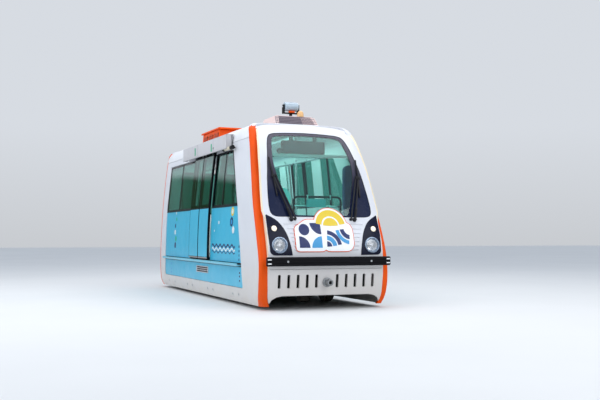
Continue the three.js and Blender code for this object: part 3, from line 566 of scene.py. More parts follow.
# %% Finish builder
def finish(name, colour, rough=0.4, metal=0.0, coat=0.0, tone=0.05, tone_size=1.2, sheen=0.06,
           grain=0.0, grain_size=240.0, dirt=0.0, dirt_top=0.5, dirt_colour=(0.42, 0.36, 0.27), streaks=0.0,
           stretch=(1, 1, 1), glow=0.0, fade=None, shine=0.5):
    """A painted, moulded, rubber or metal finish from noise of two sizes."""
    material = bpy.data.materials.new(name)
    material.use_nodes = True
    nodes, links = material.node_tree.nodes, material.node_tree.links
    shader = nodes["Principled BSDF"]
    shader.inputs["Metallic"].default_value = metal
    shader.inputs["Coat Weight"].default_value = coat
    shader.inputs["Coat Roughness"].default_value = 0.08
    shader.inputs["Specular IOR Level"].default_value = shine
    place = nodes.new("ShaderNodeTexCoord")
    scale = nodes.new("ShaderNodeMapping")
    scale.inputs["Scale"].default_value = stretch
    links.new(place.outputs["Object"], scale.inputs["Vector"])

    def noise(size, detail=3.0, source=None):
        node = nodes.new("ShaderNodeTexNoise")
        node.inputs["Scale"].default_value = size
        node.inputs["Detail"].default_value = detail
        links.new((source or scale).outputs[0], node.inputs["Vector"])
        return node.outputs["Fac"]

    def ranged(value, low, high, to_low, to_high):
        node = nodes.new("ShaderNodeMapRange")
        for key, number in zip(("From Min", "From Max", "To Min", "To Max"), (low, high, to_low, to_high)):
            node.inputs[key].default_value = number
        links.new(value, node.inputs["Value"])
        return node.outputs["Result"]

    def blend(share, a, b):
        node = nodes.new("ShaderNodeMix")
        node.data_type = "RGBA"
        for socket, value in ((node.inputs[0], share), (node.inputs[6], a), (node.inputs[7], b)):
            if hasattr(value, "is_linked"):
                links.new(value, socket)
            else:
                socket.default_value = value if isinstance(value, float) else (*value, 1)
        return node.outputs[2]

    dark = tuple(max(0.0, c * (1 - tone)) for c in colour)
    light = tuple(min(1.0, c * (1 + tone)) for c in colour)
    tint = blend(ranged(noise(tone_size), 0.3, 0.7, 0, 1), dark, light)
    gloss = ranged(noise(tone_size * 5, 2), 0.3, 0.7, max(0.02, rough - sheen), min(1.0, rough + sheen))
    # A fade blends towards a second colour lower down. On the white shell it is painted shade.
    if fade:
        height = nodes.new("ShaderNodeSeparateXYZ")
        links.new(place.outputs["Object"], height.inputs[0])
        tint = blend(ranged(height.outputs["Z"], fade[0], fade[1], 1, 0), tint, fade[2])
    if streaks:
        run = nodes.new("ShaderNodeMapping")
        run.inputs["Scale"].default_value = (5, 5, 0.5)
        links.new(place.outputs["Object"], run.inputs["Vector"])
        tint = blend(ranged(noise(1.0, 2, run), 0.5, 0.75, 0, streaks), tint, dirt_colour)
    if dirt:
        apart = nodes.new("ShaderNodeSeparateXYZ")
        links.new(place.outputs["Object"], apart.inputs[0])
        low = ranged(apart.outputs["Z"], 0.02, dirt_top, 1, 0)
        patch = ranged(noise(3.0, 3), 0.2, 0.75, 0, 1)
        film = nodes.new("ShaderNodeMath")
        film.operation = "MULTIPLY"
        links.new(low, film.inputs[0])
        links.new(patch, film.inputs[1])
        tint = blend(ranged(film.outputs[0], 0, 1, 0, dirt), tint, dirt_colour)
    links.new(tint, shader.inputs["Base Color"])
    links.new(gloss, shader.inputs["Roughness"])
    if grain:
        bump = nodes.new("ShaderNodeBump")
        bump.inputs["Strength"].default_value = grain
        bump.inputs["Distance"].default_value = 0.002
        links.new(noise(grain_size, 2), bump.inputs["Height"])
        links.new(bump.outputs[0], shader.inputs["Normal"])
    if glow:
        links.new(tint, shader.inputs["Emission Color"])
        shader.inputs["Emission Strength"].default_value = glow
    return material


def glass(name, colour):
    """A tinted pane: light goes through and takes the colour, and a faint ripple bends the reflections."""
    material = finish(name, colour, rough=0.02, tone=0.03, sheen=0.01, grain=0.015, grain_size=3.0)
    shader = material.node_tree.nodes["Principled BSDF"]
    shader.inputs["Transmission Weight"].default_value = 1.0
    shader.inputs["IOR"].default_value = 1.45
    return material


print("finishes so far:", len(bpy.data.materials))

# %% [markdown]
# Each finish below is one real material. Its colour was matched by setting a render beside the picture,
# because light and shade change a colour that is read straight off. Gloss follows use: gel coat is satin,
# rubber is dull, lamp glass is smooth. Dust gathers low down, and rain draws faint streaks.

# %% The car's finishes
# The white shell turns a darker grey below 1.1 metres: painted shade on the low parts of the body. The brown film is
# dust.
SHELL = finish("shell white", (0.71, 0.72, 0.765), rough=0.36, coat=0.1, tone=0.02, dirt=0.3, dirt_top=0.7,
               dirt_colour=(0.62, 0.54, 0.4), streaks=0.03, fade=(0.4, 1.1, (0.63, 0.605, 0.595)))
ROOF_WHITE = finish("roof white", (0.82, 0.83, 0.86), rough=0.38, coat=0.2, tone=0.04, streaks=0.06)
BLUE = finish("sky blue paint", (0.038, 0.445, 0.655), rough=0.36, coat=0.12, tone=0.04, dirt=0.15, dirt_top=0.5,
              dirt_colour=(0.3, 0.42, 0.5), streaks=0.03)
# The sill ledge is the same blue paint as the panels. Its lighter blue is a painted highlight.
BLUE_SILL_HIGHLIGHT = finish("sill blue, painted lighter", (0.16, 0.52, 0.66), rough=0.35, coat=0.2, tone=0.08, streaks=0.2)
ORANGE = finish("orange gel coat", (0.8, 0.085, 0.0015), rough=0.42, shine=0.15, tone=0.07, tone_size=2.2,
                dirt=0.12, dirt_top=0.6, dirt_colour=(0.42, 0.16, 0.06))
COVER = finish("operator cover grey", (0.55, 0.54, 0.56), rough=0.42, tone=0.04, streaks=0.1, grain=0.04)
NAVY = finish("navy gloss", (0.007, 0.009, 0.026), rough=0.22, tone=0.15, shine=0.12)
FRIT = finish("screen border", (0.012, 0.016, 0.022), rough=0.2, tone=0.12, shine=0.3)
SCREEN_BORDER = finish("windscreen border", (0.085, 0.078, 0.105), rough=0.25, tone=0.08, shine=0.15,
                       fade=(1.75, 2.3, (0.008, 0.014, 0.046)))
BLACK = finish("black seal", (0.008, 0.008, 0.01), rough=0.62, tone=0.2, grain=0.15, grain_size=400, shine=0.2)
BUMPER = finish("bumper rubber", (0.004, 0.004, 0.006), rough=0.5, tone=0.25, grain=0.1, grain_size=300, shine=0.12)
WIPER_BLACK = finish("wiper black", (0.006, 0.006, 0.009), rough=0.4, tone=0.2, grain=0.05, shine=0.3)
# Flat black: the real colour of glue, seams and plates, and also used as painted shade in slots, holes, wells and the
# cavities behind gaps.
DARK = finish("cavity black", (0.006, 0.006, 0.007), rough=0.9, tone=0.3)
STEEL = finish("brushed steel", (0.5, 0.52, 0.54), rough=0.32, metal=1.0, tone=0.06, grain=0.08, stretch=(1, 30, 1))
CASTING = finish("grey casting", (0.3, 0.31, 0.32), rough=0.48, metal=0.8, tone=0.15, grain=0.25, grain_size=120)
CHROME = finish("lamp bowl", (0.86, 0.87, 0.88), rough=0.08, metal=1.0, tone=0.03)
RIM_SILVER = finish("lamp rim", (0.3, 0.38, 0.5), rough=0.25, metal=0.6, coat=0.3, tone=0.06)
RIM_BLUE = finish("lamp inner rim", (0.42, 0.52, 0.66), rough=0.2, metal=0.7, tone=0.05)
BULB = finish("lamp bulb holder", (0.8, 0.82, 0.85), rough=0.2, coat=0.5, tone=0.03, glow=0.15)
CHASSIS = finish("chassis paint", (0.035, 0.037, 0.04), rough=0.6, tone=0.3, grain=0.2, grain_size=150, dirt=0.6,
                 dirt_top=0.9, dirt_colour=(0.13, 0.085, 0.05))
TREAD = finish("wheel rubber", (0.028, 0.027, 0.026), rough=0.75, tone=0.25, grain=0.2, grain_size=180, dirt=0.4)
SEAT = finish("seat blue", (0.012, 0.06, 0.2), rough=0.4, tone=0.1, grain=0.06, grain_size=300)
SEAT_PALE = finish("seat teal", (0.18, 0.48, 0.5), rough=0.42, tone=0.1, grain=0.06, grain_size=300)
FLOOR = finish("cabin floor", (0.2, 0.22, 0.23), rough=0.7, tone=0.15, grain=0.3, grain_size=500)
LINING = finish("cabin lining", (0.72, 0.76, 0.76), rough=0.5, tone=0.04)
RAIL = finish("handrail steel", (0.6, 0.62, 0.64), rough=0.3, metal=0.5, tone=0.05)
SCREEN = glass("windscreen tint", (0.4, 0.88, 0.8))
SIDE_GLASS = glass("side glass tint", (0.1, 0.36, 0.3))
LENS = glass("lamp lens", (0.97, 0.98, 1.0))
RED_LENS = finish("tail lamp red", (0.45, 0.012, 0.01), rough=0.15, coat=0.6, tone=0.06, glow=0.1)
CREAM_DOME = finish("dome cream", (0.84, 0.5, 0.22), rough=0.4, tone=0.1, streaks=0.1)
WARM_LENS = finish("warm marker lens", (0.95, 0.84, 0.68), rough=0.15, coat=0.6, tone=0.05, glow=0.35)
CEILING_LIGHT = finish("ceiling light", (0.9, 0.94, 0.96), rough=0.4, tone=0.01, glow=0.4)
# The guard seat glows a little though it is no lamp: painted light, so that it reads bright behind the glass.
GLOWING_SEAT_TEAL = finish("guard seat teal, glowing", (0.42, 0.86, 0.84), rough=0.4, tone=0.04, glow=0.12)
PANEL_TEAL = finish("light panel teal", (0.2, 0.62, 0.66), rough=0.4, tone=0.06)
YELLOW = finish("badge yellow", (0.78, 0.56, 0.02), rough=0.35, tone=0.05)
CYAN = finish("badge cyan", (0.02, 0.3, 0.62), rough=0.35, tone=0.06)
DEEP_BLUE = finish("badge deep blue", (0.008, 0.022, 0.12), rough=0.3, tone=0.08, shine=0.3)
BADGE_WHITE = finish("badge white", (0.86, 0.88, 0.9), rough=0.3, coat=0.4, tone=0.02)
GREEN_MARK = finish("green marker", (0.0, 0.36, 0.18), rough=0.4, tone=0.06)
print("finishes:", len(bpy.data.materials))

# %% [markdown]
# ## The moulded shell
#
# The sides and the roof of the real car are glass-fibre mouldings bolted to a frame. They are made as thin
# sheets with a shadow gap between them, because those gaps are what the eye reads as "assembled from
# panels". The side frame is one sheet with a single large hole, in which the blue panels and the windows sit
# a little deeper than the white.

# %% Roof and side frames
SIDES = (("right", -1), ("left", 1))
FIELD_REAR = -2.72
FIELD_FRONT = [(0.28, 2.455), (0.9, 2.31), (1.585, 2.09), (2.52, 1.59)]


def field_front(z):
    return float(np.interp(z, *zip(*FIELD_FRONT)))


def field(z0, z1):
    """Outline of the recessed field between two heights, which leans with the nose at its front."""
    heights = [z0] + [z for z, _ in FIELD_FRONT if z0 < z < z1] + [z1]
    return [(FIELD_REAR, z0)] + [(field_front(z), z) for z in heights] + [(FIELD_REAR, z1)]


def run_at(z):
    """The outline's run from the middle of the roof down to a height."""
    return float(np.interp(-z, -OUTLINE[:, 1], OUTLINE_RUN))


def roof_pattern(inset=0.0, z=2.652):
    """Outline of the roof between the two ends, down to a height on both sides."""
    reach = run_at(z)
    runs = np.linspace(-reach, reach, 61)
    heights = np.interp(np.abs(runs), OUTLINE_RUN, OUTLINE[:, 1])
    rear = [(float(tail_edge(h)) + inset, float(a)) for a, h in zip(runs, heights)]
    front = [(float(nose_edge(h)) - inset, float(a)) for a, h in zip(runs, heights)]
    return rear + front[::-1]


roof = skin("roof_shell", over_roof, roof_pattern(), ROOF_WHITE, thick=0.03, step=0.085)
dress("roof_shell", by=roof)
skin("ceiling_lining", over_roof, roof_pattern(0.06, 2.68), LINING, depth=0.045, thick=0.006, step=0.12)
for label, side in SIDES:
    heights = np.r_[np.linspace(0.05, 0.4, 9), np.linspace(0.5, 2.646, 30)]
    pattern = [(float(tail_edge(z)), float(z)) for z in heights]
    pattern += [(float(nose_edge(z)), float(z)) for z in heights[::-1]]
    hole = rounded(field(0.28, 2.52), [0.05, 0.05, 0.0, 0.0, 0.04, 0.04])
    frame_piece = skin(f"side_frame_{label}", on_side(side), pattern, SHELL, [hole], thick=0.032, step=0.085)
    dress(f"side_wall_{label}", f"window_frame_{label}", by=frame_piece)
print("shell pieces so far:", MADE)

# %% [markdown]
# ## Corner ribs and the hoop over the roof
#
# The ribs are the car's most striking form: thick moulded strips that turn each corner from the side to the
# nose. Their section is a quarter of an ellipse, flat enough on the side to look like a band there. The same
# section, flattened and painted white, runs on over the roof as a hoop that covers the joint.

# %% Ribs
RIB_IN, RIB_TOP = 0.11, 2.795  # how far a rib reaches in, and where it ends
LEAN_Z, LEAN_IN = 2.64, 0.028  # from here up the ribs lean in, by this much at their top


def rib_half(z):
    """Half width over the ribs at a height."""
    return float(half(min(z, LEAN_Z))) - max(0.0, z - LEAN_Z) / (RIB_TOP - LEAN_Z) * LEAN_IN


# The rib's section, as (share of the way from its rear edge to its front, share of the way in from the side)
RIB_SECTION = [
    (0.0, 0.55), (0.0, -0.02), (0.012, -0.05), (0.05, -0.06), (0.2, -0.035), (0.42, 0.04), (0.62, 0.115), (0.78, 0.19),
    (0.88, 0.265), (0.935, 0.335), (0.97, 0.42), (0.99, 0.5), (1.0, 0.6), (1.0, 1.0), (0.62, 1.0),
]


def corner_rib(label, side, end, face, edge, way):
    """One rib from the floor to the roof. edge and face give its rear and its front edge at a height."""
    heights = np.r_[np.linspace(0.05, 0.35, 10), np.linspace(0.4, 2.6, 46), np.linspace(LEAN_Z, RIB_TOP, 8)]
    verts = []
    for z in heights:
        start = float(edge(z))
        reach = float(face(z)) + way * 0.003 - start
        for along, into in RIB_SECTION:
            verts.append((start + reach * along, side * (rib_half(z) - into * RIB_IN), z))
    faces = loft_faces(len(heights), len(RIB_SECTION))
    piece = tidy_normals(keep_mesh(f"corner_rib_{end}_{label}", verts, faces, ORANGE, smooth=40))
    piece.data.materials.append(SHELL)
    # The left front rib is white above 2.6 metres where the right one stays orange: a painted highlight on its
    # upward-leaning top.
    for part in piece.data.polygons:
        part.material_index = int(end == "front" and side > 0 and part.center.z > 2.6)
    return dress(f"rib_{end}_{label}", by=piece)


def roof_hoop(end, face, edge, way):
    """The ribs' section carried over the roof, flatter towards the middle, with orange ends, except the front hoop's
    left end, which is white as a painted highlight.
    """
    reach = run_at(RIB_TOP + 0.002)
    turn = np.linspace(0, math.pi / 2, 9)
    section = [(0.0, 0.55)] + [(math.sin(t), 1 - math.cos(t)) for t in turn] + [(0.9, 1.0), (0.62, 1.0)]
    verts = []
    runs = np.linspace(-reach, reach, 81)
    for a in runs:
        z = float(np.interp(abs(a), OUTLINE_RUN, OUTLINE[:, 1]))
        share = np.clip((reach - abs(a)) / 0.22, 0, 1)
        wide = max(0.1, abs(float(face(z)) - float(edge(z))))
        deep = RIB_IN * (1 - share) ** 1.6 + 0.012
        for along, into in section:
            sink = 0.03 if along in (0.9, 0.62) else 0.0
            x = float(edge(z)) + way * (wide * along - 0.004)
            verts.append(over_roof(x, a, deep * into - 0.014 + sink))
    faces = loft_faces(len(runs), len(section))
    hoop = tidy_normals(keep_mesh(f"roof_hoop_{end}", verts, faces, SHELL, smooth=50))
    hoop.data.materials.append(ORANGE)
    # The front hoop's left end is white where its right end is orange: a painted highlight, as on the rib below it.
    for part in hoop.data.polygons:
        part.material_index = int(part.center.z < 2.846 and (way < 0 or part.center.y < 0))


tail_x = reader(TAIL)
for label, side in SIDES:
    corner_rib(label, side, "front", rib_face, nose_edge, 1)
    corner_rib(label, side, "rear", tail_x, tail_edge, -1)
roof_hoop("front", nose_x, nose_edge, 1)
roof_hoop("rear", tail_x, tail_edge, -1)
print("with ribs and hoops:", MADE)

# %% [markdown]
# ## The nose
#
# The nose is a separate moulding. It carries the windscreen, the lamps and the bumper, and it wraps over the
# top as a forehead. A seam just below the bumper divides it, so that the lower part can be taken off to
# reach the coupler. Ten upright slots let air to the gear behind it.

# %% Nose moulding
SCREEN_EDGE = [
    (0, 2.762), (0.33, 2.753), (0.54, 2.736), (0.62, 2.706), (0.668, 2.645), (0.708, 2.517), (0.743, 2.343),
    (0.777, 2.17), (0.809, 1.985), (0.838, 1.735), (0.85, 1.55), (0.842, 1.45), (0.808, 1.402), (0.74, 1.382),
    (0, 1.38),
]
SLOT = {"half": 0.023, "low": 0.32, "high": 0.52, "first": 0.17, "pitch": 0.149, "count": 5}
LAMPS = {"y": 0.76, "z": 0.957, "r": 0.128, "y2": 0.82, "z2": 1.204, "r2": 0.056}
ARCH_TOP = 0.207
ARCH = [(0.9, 0.09), (0.868, 0.15), (0.8, 0.19), (0.71, ARCH_TOP)]
MASK_FOOT, VALANCE_TOP = 0.603, 0.598  # the seam runs between these two heights


def top_of_face(where, y, edge, way, low):
    """How far up a face runs before it meets the hoop, at one place across."""
    ts = np.linspace(low, where.top, 160)
    p = where(np.full_like(ts, y), ts)
    past = way * (p[:, 0] - edge(p[:, 2])) < 0.012
    return float(ts[np.argmax(past)]) if past.any() else where.top


def between_ribs(z):
    """Half width of an end face between the ribs."""
    return rib_half(z) - RIB_IN - 0.002


def mask_reach(z, side=-1):
    """Half width of the nose moulding, which reaches out over the ribs from the windscreen up."""
    over = np.interp(z, (1.3, 1.48, 2.3, 2.7), (0.0, 0.046, 0.044, 0.02) if side < 0 else (0.0, 0.06, 0.084, 0.09))
    return between_ribs(z) + float(over)


def face_pattern(where, edge, way, low, reach=between_ribs):
    """Right half of an end face's outline, between the ribs, from a height up to the hoop."""
    line = [(reach(z), where.at(z)) for z in np.r_[np.linspace(low, 2.6, 26), np.linspace(2.64, 2.79, 6)]]
    shelf = where.at(2.8)
    across = np.linspace(0.95, 0.0, 24)
    tops = [(float(y), max(shelf + 0.01, top_of_face(where, y, edge, way, shelf))) for y in across]
    return line + [(0.95, shelf)] + tops


def valance_pattern():
    """Outline of an end face below the seam, with an arch cut out of its foot."""
    sides = [(between_ribs(z), z) for z in np.linspace(0.115, VALANCE_TOP, 9)]
    return mirrored([(0, ARCH_TOP)] + ARCH[::-1] + sides + [(0, VALANCE_TOP)])


screen_hole = rounded(mirrored(SCREEN_EDGE), 0.03, 3)
lamp_holes = [circle(s * LAMPS["y"], LAMPS["z"], LAMPS["r"] + 0.002) for s in (1, -1)]
lamp_holes += [circle(s * LAMPS["y2"], LAMPS["z2"], LAMPS["r2"] + 0.002, 24) for s in (1, -1)]
halves = [face_pattern(on_nose, nose_edge, 1, MASK_FOOT, lambda z, s=s: mask_reach(z, s)) for s in (1, -1)]
pattern = [(0, MASK_FOOT)] + halves[0] + [(-y, t) for y, t in halves[1][::-1] if y > 0.001]
mask = skin("nose_moulding", on_nose, pattern, SHELL, [screen_hole, *lamp_holes], thick=0.02, step=0.06)
slots = []
for s in (1, -1):
    for i in range(SLOT["count"]):
        y, w, low, high = s * (SLOT["first"] + i * SLOT["pitch"]), SLOT["half"], SLOT["low"], SLOT["high"]
        slots.append(rounded([(y - w, low), (y + w, low), (y + w, high), (y - w, high)], 0.012, 3))
skin("nose_valance", on_nose, valance_pattern(), SHELL, slots, thick=0.03, step=0.045, edge=0.004)
dress("nose_mask", by=mask)
# A dark sheet deep behind the ten slots is painted shade, seen through them.
skin("nose_slot_shade", on_nose, [(-0.7, 0.28), (0.7 + 0.13, 0.28), (0.83, 0.57), (-0.83, 0.57), (-0.83, 0.28)], DARK,
     depth=0.16, thick=0.004, step=0.1)
print("slots in the nose:", len(slots), "holes for lamps:", len(lamp_holes))

# %% [markdown]
# The moulding's side edge is folded back towards the rib and capped with a cream rubber bead. Its cream is partly the
# bead's own colour and partly a painted highlight along the edge. Seen from the side, this thin pale line keeps the
# white nose and the orange rib apart.

# %% Folded edges
CREAM_AND_HIGHLIGHT = finish("cream edge trim and highlight", (0.86, 0.74, 0.52), rough=0.45, tone=0.06, streaks=0.15)
for label, side in SIDES:
    heights = np.r_[np.linspace(0.24, 1.3, 22), np.linspace(1.36, 2.6, 24), np.linspace(2.64, 2.785, 5)]
    verts = []
    for z in heights:
        reach, inner = mask_reach(z, side), between_ribs(z)
        lip = float(on_nose(reach - 0.01, on_nose.at(z), 0.0)[0])
        back = min(float(rib_face(z)) - 0.012, lip - 0.04)
        plan = [(lip - 0.004, reach - 0.026), (lip + 0.001, reach - 0.012), (lip - 0.003, reach - 0.002),
                (lip - 0.012, reach + 0.002), (lip - 0.024, reach + 0.001), (lip - 0.03, reach - 0.006),
                (lip - 0.032, inner - 0.001), (back, inner), (back, inner - 0.02), (lip - 0.024, inner - 0.02)]
        verts += [(x, side * y, z) for x, y in plan]
    faces = loft_faces(len(heights), len(plan))
    tidy_normals(keep_mesh(f"nose_edge_trim_{label}", verts, faces, CREAM_AND_HIGHLIGHT, smooth=50))
print("folded edges, rows and points a row:", len(heights), len(plan))

# %% [markdown]
# Seven fine ridges cross the nose between the lamps. Each is a thin bar of its own, which costs less than
# finer triangles over the whole moulding. A black strip edges the arch at the nose's foot.

# %% Raised lines on the nose
LEAF_INNER = [(0.803, 0.563), (0.891, 0.574), (1.053, 0.606), (1.2, 0.65), (1.326, 0.741), (1.414, 0.897)]


line_section = [(-0.013, -0.003), (-0.009, 0.006), (0, 0.012), (0.009, 0.006), (0.013, -0.003)]
lines = []
for k, z in enumerate((0.89, 0.95, 1.016, 1.079, 1.138, 1.208, 1.276)):
    reach = float(np.interp(z, *zip(*LEAF_INNER))) - 0.05
    across = np.linspace(-reach, reach, 30)
    lines.append(sweep(f"line_{k}", [on_nose(y, z, 0.0) for y in across], (1, 0, 0.3), line_section, SHELL))
join("nose_lines", lines)
trim = [(0.9, 0.1)] + ARCH[1:] + [(y, ARCH_TOP) for y in (0.5, 0.25, 0)]
trim = smooth_line([(y, z) for y, z in trim] + [(-y, z) for y, z in trim[-2::-1]], 0.03)
sweep("rail_arch_trim", [tuple(on_nose(y, z, 0.012)) for y, z in trim], (1, 0, 0), ring(0.009, 8), BLACK)
print("nose done:", MADE)

# %% [markdown]
# ## Blue panels and windows
#
# The recessed field holds five blue panels, a long sill ledge that covers the joint under the doors, and a band of
# bonded glass. A dark sheet behind them is painted shade, so that every joint reads dark. The pale sheet behind that
# is the cabin's lining, thick enough to give each window a deep reveal.

# %% Panels between the ribs
GRILLE = {"x0": -0.26, "x1": 0.51, "z0": 0.432, "z1": 0.552}
DOORWAY = rounded([(-0.59, 0.715), (0.59, 0.715), (0.59, 2.5), (-0.59, 2.5)], [0.01, 0.01, 0.06, 0.06])


def box_loop(x0, x1, z0, z1, radius=0.0):
    loop = [(x0, z0), (x1, z0), (x1, z1), (x0, z1)]
    return rounded(loop, radius, 4) if radius else loop


def window_loop(place, by=0.0):
    """Outline of the rear or the front side window, grown or shrunk by a distance."""
    if place == "rear":
        loop = box_loop(-2.7 - by, -0.645 + by, 1.585 - by, 2.52 + by)
    else:
        loop = [(0.645 - by, 1.585 - by), (2.068 + by, 1.585 - by), (1.57 + by, 2.52 + by), (0.645 - by, 2.52 + by)]
    return rounded(loop, 0.05, 4)


for label, side in SIDES:
    where = on_side(side)
    vent = box_loop(*GRILLE.values(), 0.008)
    front_edge = [(field_front(z) - 0.005, z) for z in (1.571, 0.9, 0.668)][::-1]
    panels = {
        "low_rear": (box_loop(-2.715, -1.123, 0.285, 0.617), []),
        "low_front": ([(-1.117, 0.285), (field_front(0.285) - 0.005, 0.285), (field_front(0.617) - 0.005, 0.617),
                       (-1.117, 0.617)], [vent]),
        "rear": (box_loop(-2.715, -1.123, 0.668, 1.571), []),
        "door_side": (box_loop(-1.117, -0.6, 0.668, 1.571), []),
        "front": ([(0.6, 0.668), *front_edge, (0.6, 1.571)], []),
    }
    for part, (loop, holes) in panels.items():
        skin(f"blue_panel_{part}_{label}", where, loop, BLUE, holes, depth=0.01, thick=0.012, step=0.1, edge=0.003)
    outline = [(-3.02, 0.64), (2.98, 0.64), (2.86, 1.1), (2.65, 1.6), (2.42, 2.1), (2.2, 2.6), (-3.02, 2.6)]
    openings = [window_loop("rear", -0.03), window_loop("front", -0.03), DOORWAY]
    # The dark sheet behind the joints is painted shade.
    skin(f"joint_shade_sheet_{label}", where, outline, DARK, openings, depth=0.026, thick=0.006, step=0.14, edge=0)
    skin(f"side_lining_{label}", where, outline, LINING, openings, depth=0.034, thick=0.024, step=0.14)
    # A dark sheet behind the vent is painted shade, seen through its slots.
    skin(f"vent_shade_sheet_{label}", where, box_loop(-0.4, 0.65, 0.34, 0.61), DARK, depth=0.1, thick=0.006, step=0.15,
         edge=0)
print("blue panels a side:", len(panels))

# %% [markdown]
# The ledge is a folded strip with an upturned lip that the lower ends of the doors run in. A bead under the
# windows and a gutter over the rear one shed rain past the joints.

# %% Ledge, bead and gutter
ledge_fold = [(-0.02, 0.0), (0.052, -0.003), (0.061, 0.004), (0.064, 0.026), (0.061, 0.043), (0.053, 0.043),
              (0.051, 0.022), (0.046, 0.018), (-0.02, 0.018)]
for label, side in SIDES:
    parts = []
    for start, stop in ((-2.69, -0.9), (-0.896, 0.896), (0.9, 2.33)):
        run = [(x, side * float(half(0.64)), 0.621) for x in np.linspace(start, stop, 8)]
        fold = [(-side * u, v) for u, v in ledge_fold]
        # The ledge's paler blue is a painted highlight along its lit face.
        parts.append(sweep(f"ledge_{start}", run, (0, 0, 1), fold, BLUE_SILL_HIGHLIGHT, smooth=30))
    join(f"door_ledge_{label}", parts)
    # A black rod under the ledge is a painted shadow: it darkens the line where the ledge throws its shade.
    line = [(x, side * (float(half(0.61)) - 0.006), 0.612) for x in np.linspace(-2.71, 2.36, 8)]
    sweep(f"ledge_shadow_rod_{label}", line, (0, 0, 1), ring(0.008, 8), BLACK)
    strips = (
        ("sill_bead", 1.578, 0.007, 0.008, BLACK, ((-2.71, -0.6), (0.6, field_front(1.578) - 0.01))),
        ("rain_gutter", 2.527, 0.008, -0.004, CASTING, ((-2.72, -1.31),)),
    )
    for name, z, radius, inset, material, spans in strips:
        y = side * (float(half(z)) - inset)
        rods = []
        for a, b in spans:
            rods.append(tube(f"{name}_{a}", [(x, y, z) for x in np.linspace(a, b, 6)], radius, material, n=8))
        join(f"{name}_{label}", rods)
print("ledge, beads and gutters:", MADE)

# %% [markdown]
# Each side window is one tinted pane glued on from outside. The printed black border hides the glue, and
# black posts divide the panes.

# %% Side windows
for label, side in SIDES:
    where = on_side(side)
    for place in ("rear", "front"):
        pane = skin(f"side_pane_{place}_{label}", where, window_loop(place, -0.004), SIDE_GLASS, depth=0.006,
                    thick=0.006, step=0.1, edge=0.001)
        dress(f"window_{place}_{label}", by=pane)
        strip = [window_loop(place, -0.003), window_loop(place, -0.034)]
        skin(f"pane_border_{place}_{label}", where, strip[0], FRIT, [strip[1]], depth=0.0045, thick=0.001, step=0.1,
             edge=0)
        seal = [(float(x), float(z)) for x, z in window_loop(place, 0.001)]
        path = [tuple(where(x, z, 0.005)) for x, z in loop_points(seal, 0.06)]
        sweep(f"pane_seal_{place}_{label}", path, (0, side, 0.02), ring(0.006, 6), BLACK, closed=True)
    posts = []
    for x in (-1.7, 1.22):
        post = box_loop(x - 0.018, x + 0.018, 1.6, 2.505)
        posts.append(skin(f"post_{x}", where, post, BLACK, depth=0.0035, thick=0.03, step=0.1))
    low, high = 1.588, 1.618
    for strip in (box_loop(-2.68, -0.66, low, high), [(0.66, low), (2.04, low), (2.03, high), (0.66, high)]):
        posts.append(skin("sill_strip", where, strip, FRIT, depth=0.004, thick=0.001, step=0.1, edge=0))
    join(f"window_posts_{label}", posts)
print("sides:", MADE)

# %% [markdown]
# ## Vent, latches and painted marks
#
# The vent under the doors is a frame of slats. Small turn latches hold the skirt, in pairs. The marks on the
# blue panels are thin vinyl: plain discs and a wave, in the colours of the car's livery.

# %% Vent and latches
for label, side in SIDES:
    where = on_side(side)
    x0, x1, z0, z1 = GRILLE.values()
    rows = [(z0 + z1) / 2 + k * 0.034 for k in (-1, 0, 1)]
    slots = [box_loop(x0 + 0.028, x1 - 0.028, z - 0.0115, z + 0.0115) for z in rows]
    frame_loop = box_loop(x0 + 0.002, x1 - 0.002, z0 + 0.002, z1 - 0.002, 0.006)
    frame_part = skin(f"vent_frame_{label}", where, frame_loop, COVER, slots, depth=0.004, thick=0.012, step=0.1,
                      edge=0.002)
    dress(f"vent_grille_{label}", by=frame_part)
    slats = []
    for row in rows:
        for i in range(2):
            z = row - 0.006 + i * 0.012
            y = side * (float(half(z)) - 0.014)
            low, high = (x0 + 0.02, y, z - 0.0012), (x1 - 0.02, y - side * 0.016, z + 0.0012)
            slats.append(block(f"slat_{row}_{i}", low, high, CASTING, edge=0.0005))
    join(f"vent_slats_{label}", slats)
    latches = []
    for x in (-2.41, -1.91, -0.92, -0.58, 0.46, 0.79, 1.92, 2.22):
        plate = box_loop(x - 0.011, x + 0.011, 0.146, 0.194, 0.008)
        latches.append(skin(f"latch_{x}", where, plate, STEEL, depth=-0.003, thick=0.006, step=0.02))
        knob = [(0, -0.002), (0.007, -0.002), (0.0075, 0.003), (0.005, 0.005), (0, 0.005)]
        centre = tuple(where(x, 0.17, -0.002))
        latches.append(turn_piece(f"turn_{x}", knob, (0, side, 0), centre, CASTING, segments=14))
    join(f"skirt_latches_{label}", latches)
print("slots in a vent:", len(slots), "slats:", len(slats))

# %% [markdown]
# The marks are cut from vinyl, so each is a sheet of a millimetre that hardly stands off the paint. A mark
# on a mark lies one step further out, so that the two never share a surface.


# %% Vinyl marks
def wave_band(x0, x1, z, high, humps, thick):
    """A ribbon that follows a sine, as a closed outline."""
    xs = np.linspace(x0, x1, humps * 12)
    turn = (xs - x0) / (x1 - x0) * humps * 2 * math.pi
    top = [(float(x), float(z + high * math.sin(t) + thick / 2)) for x, t in zip(xs, turn)]
    return top[::-1] + [(x, y - thick) for x, y in top]


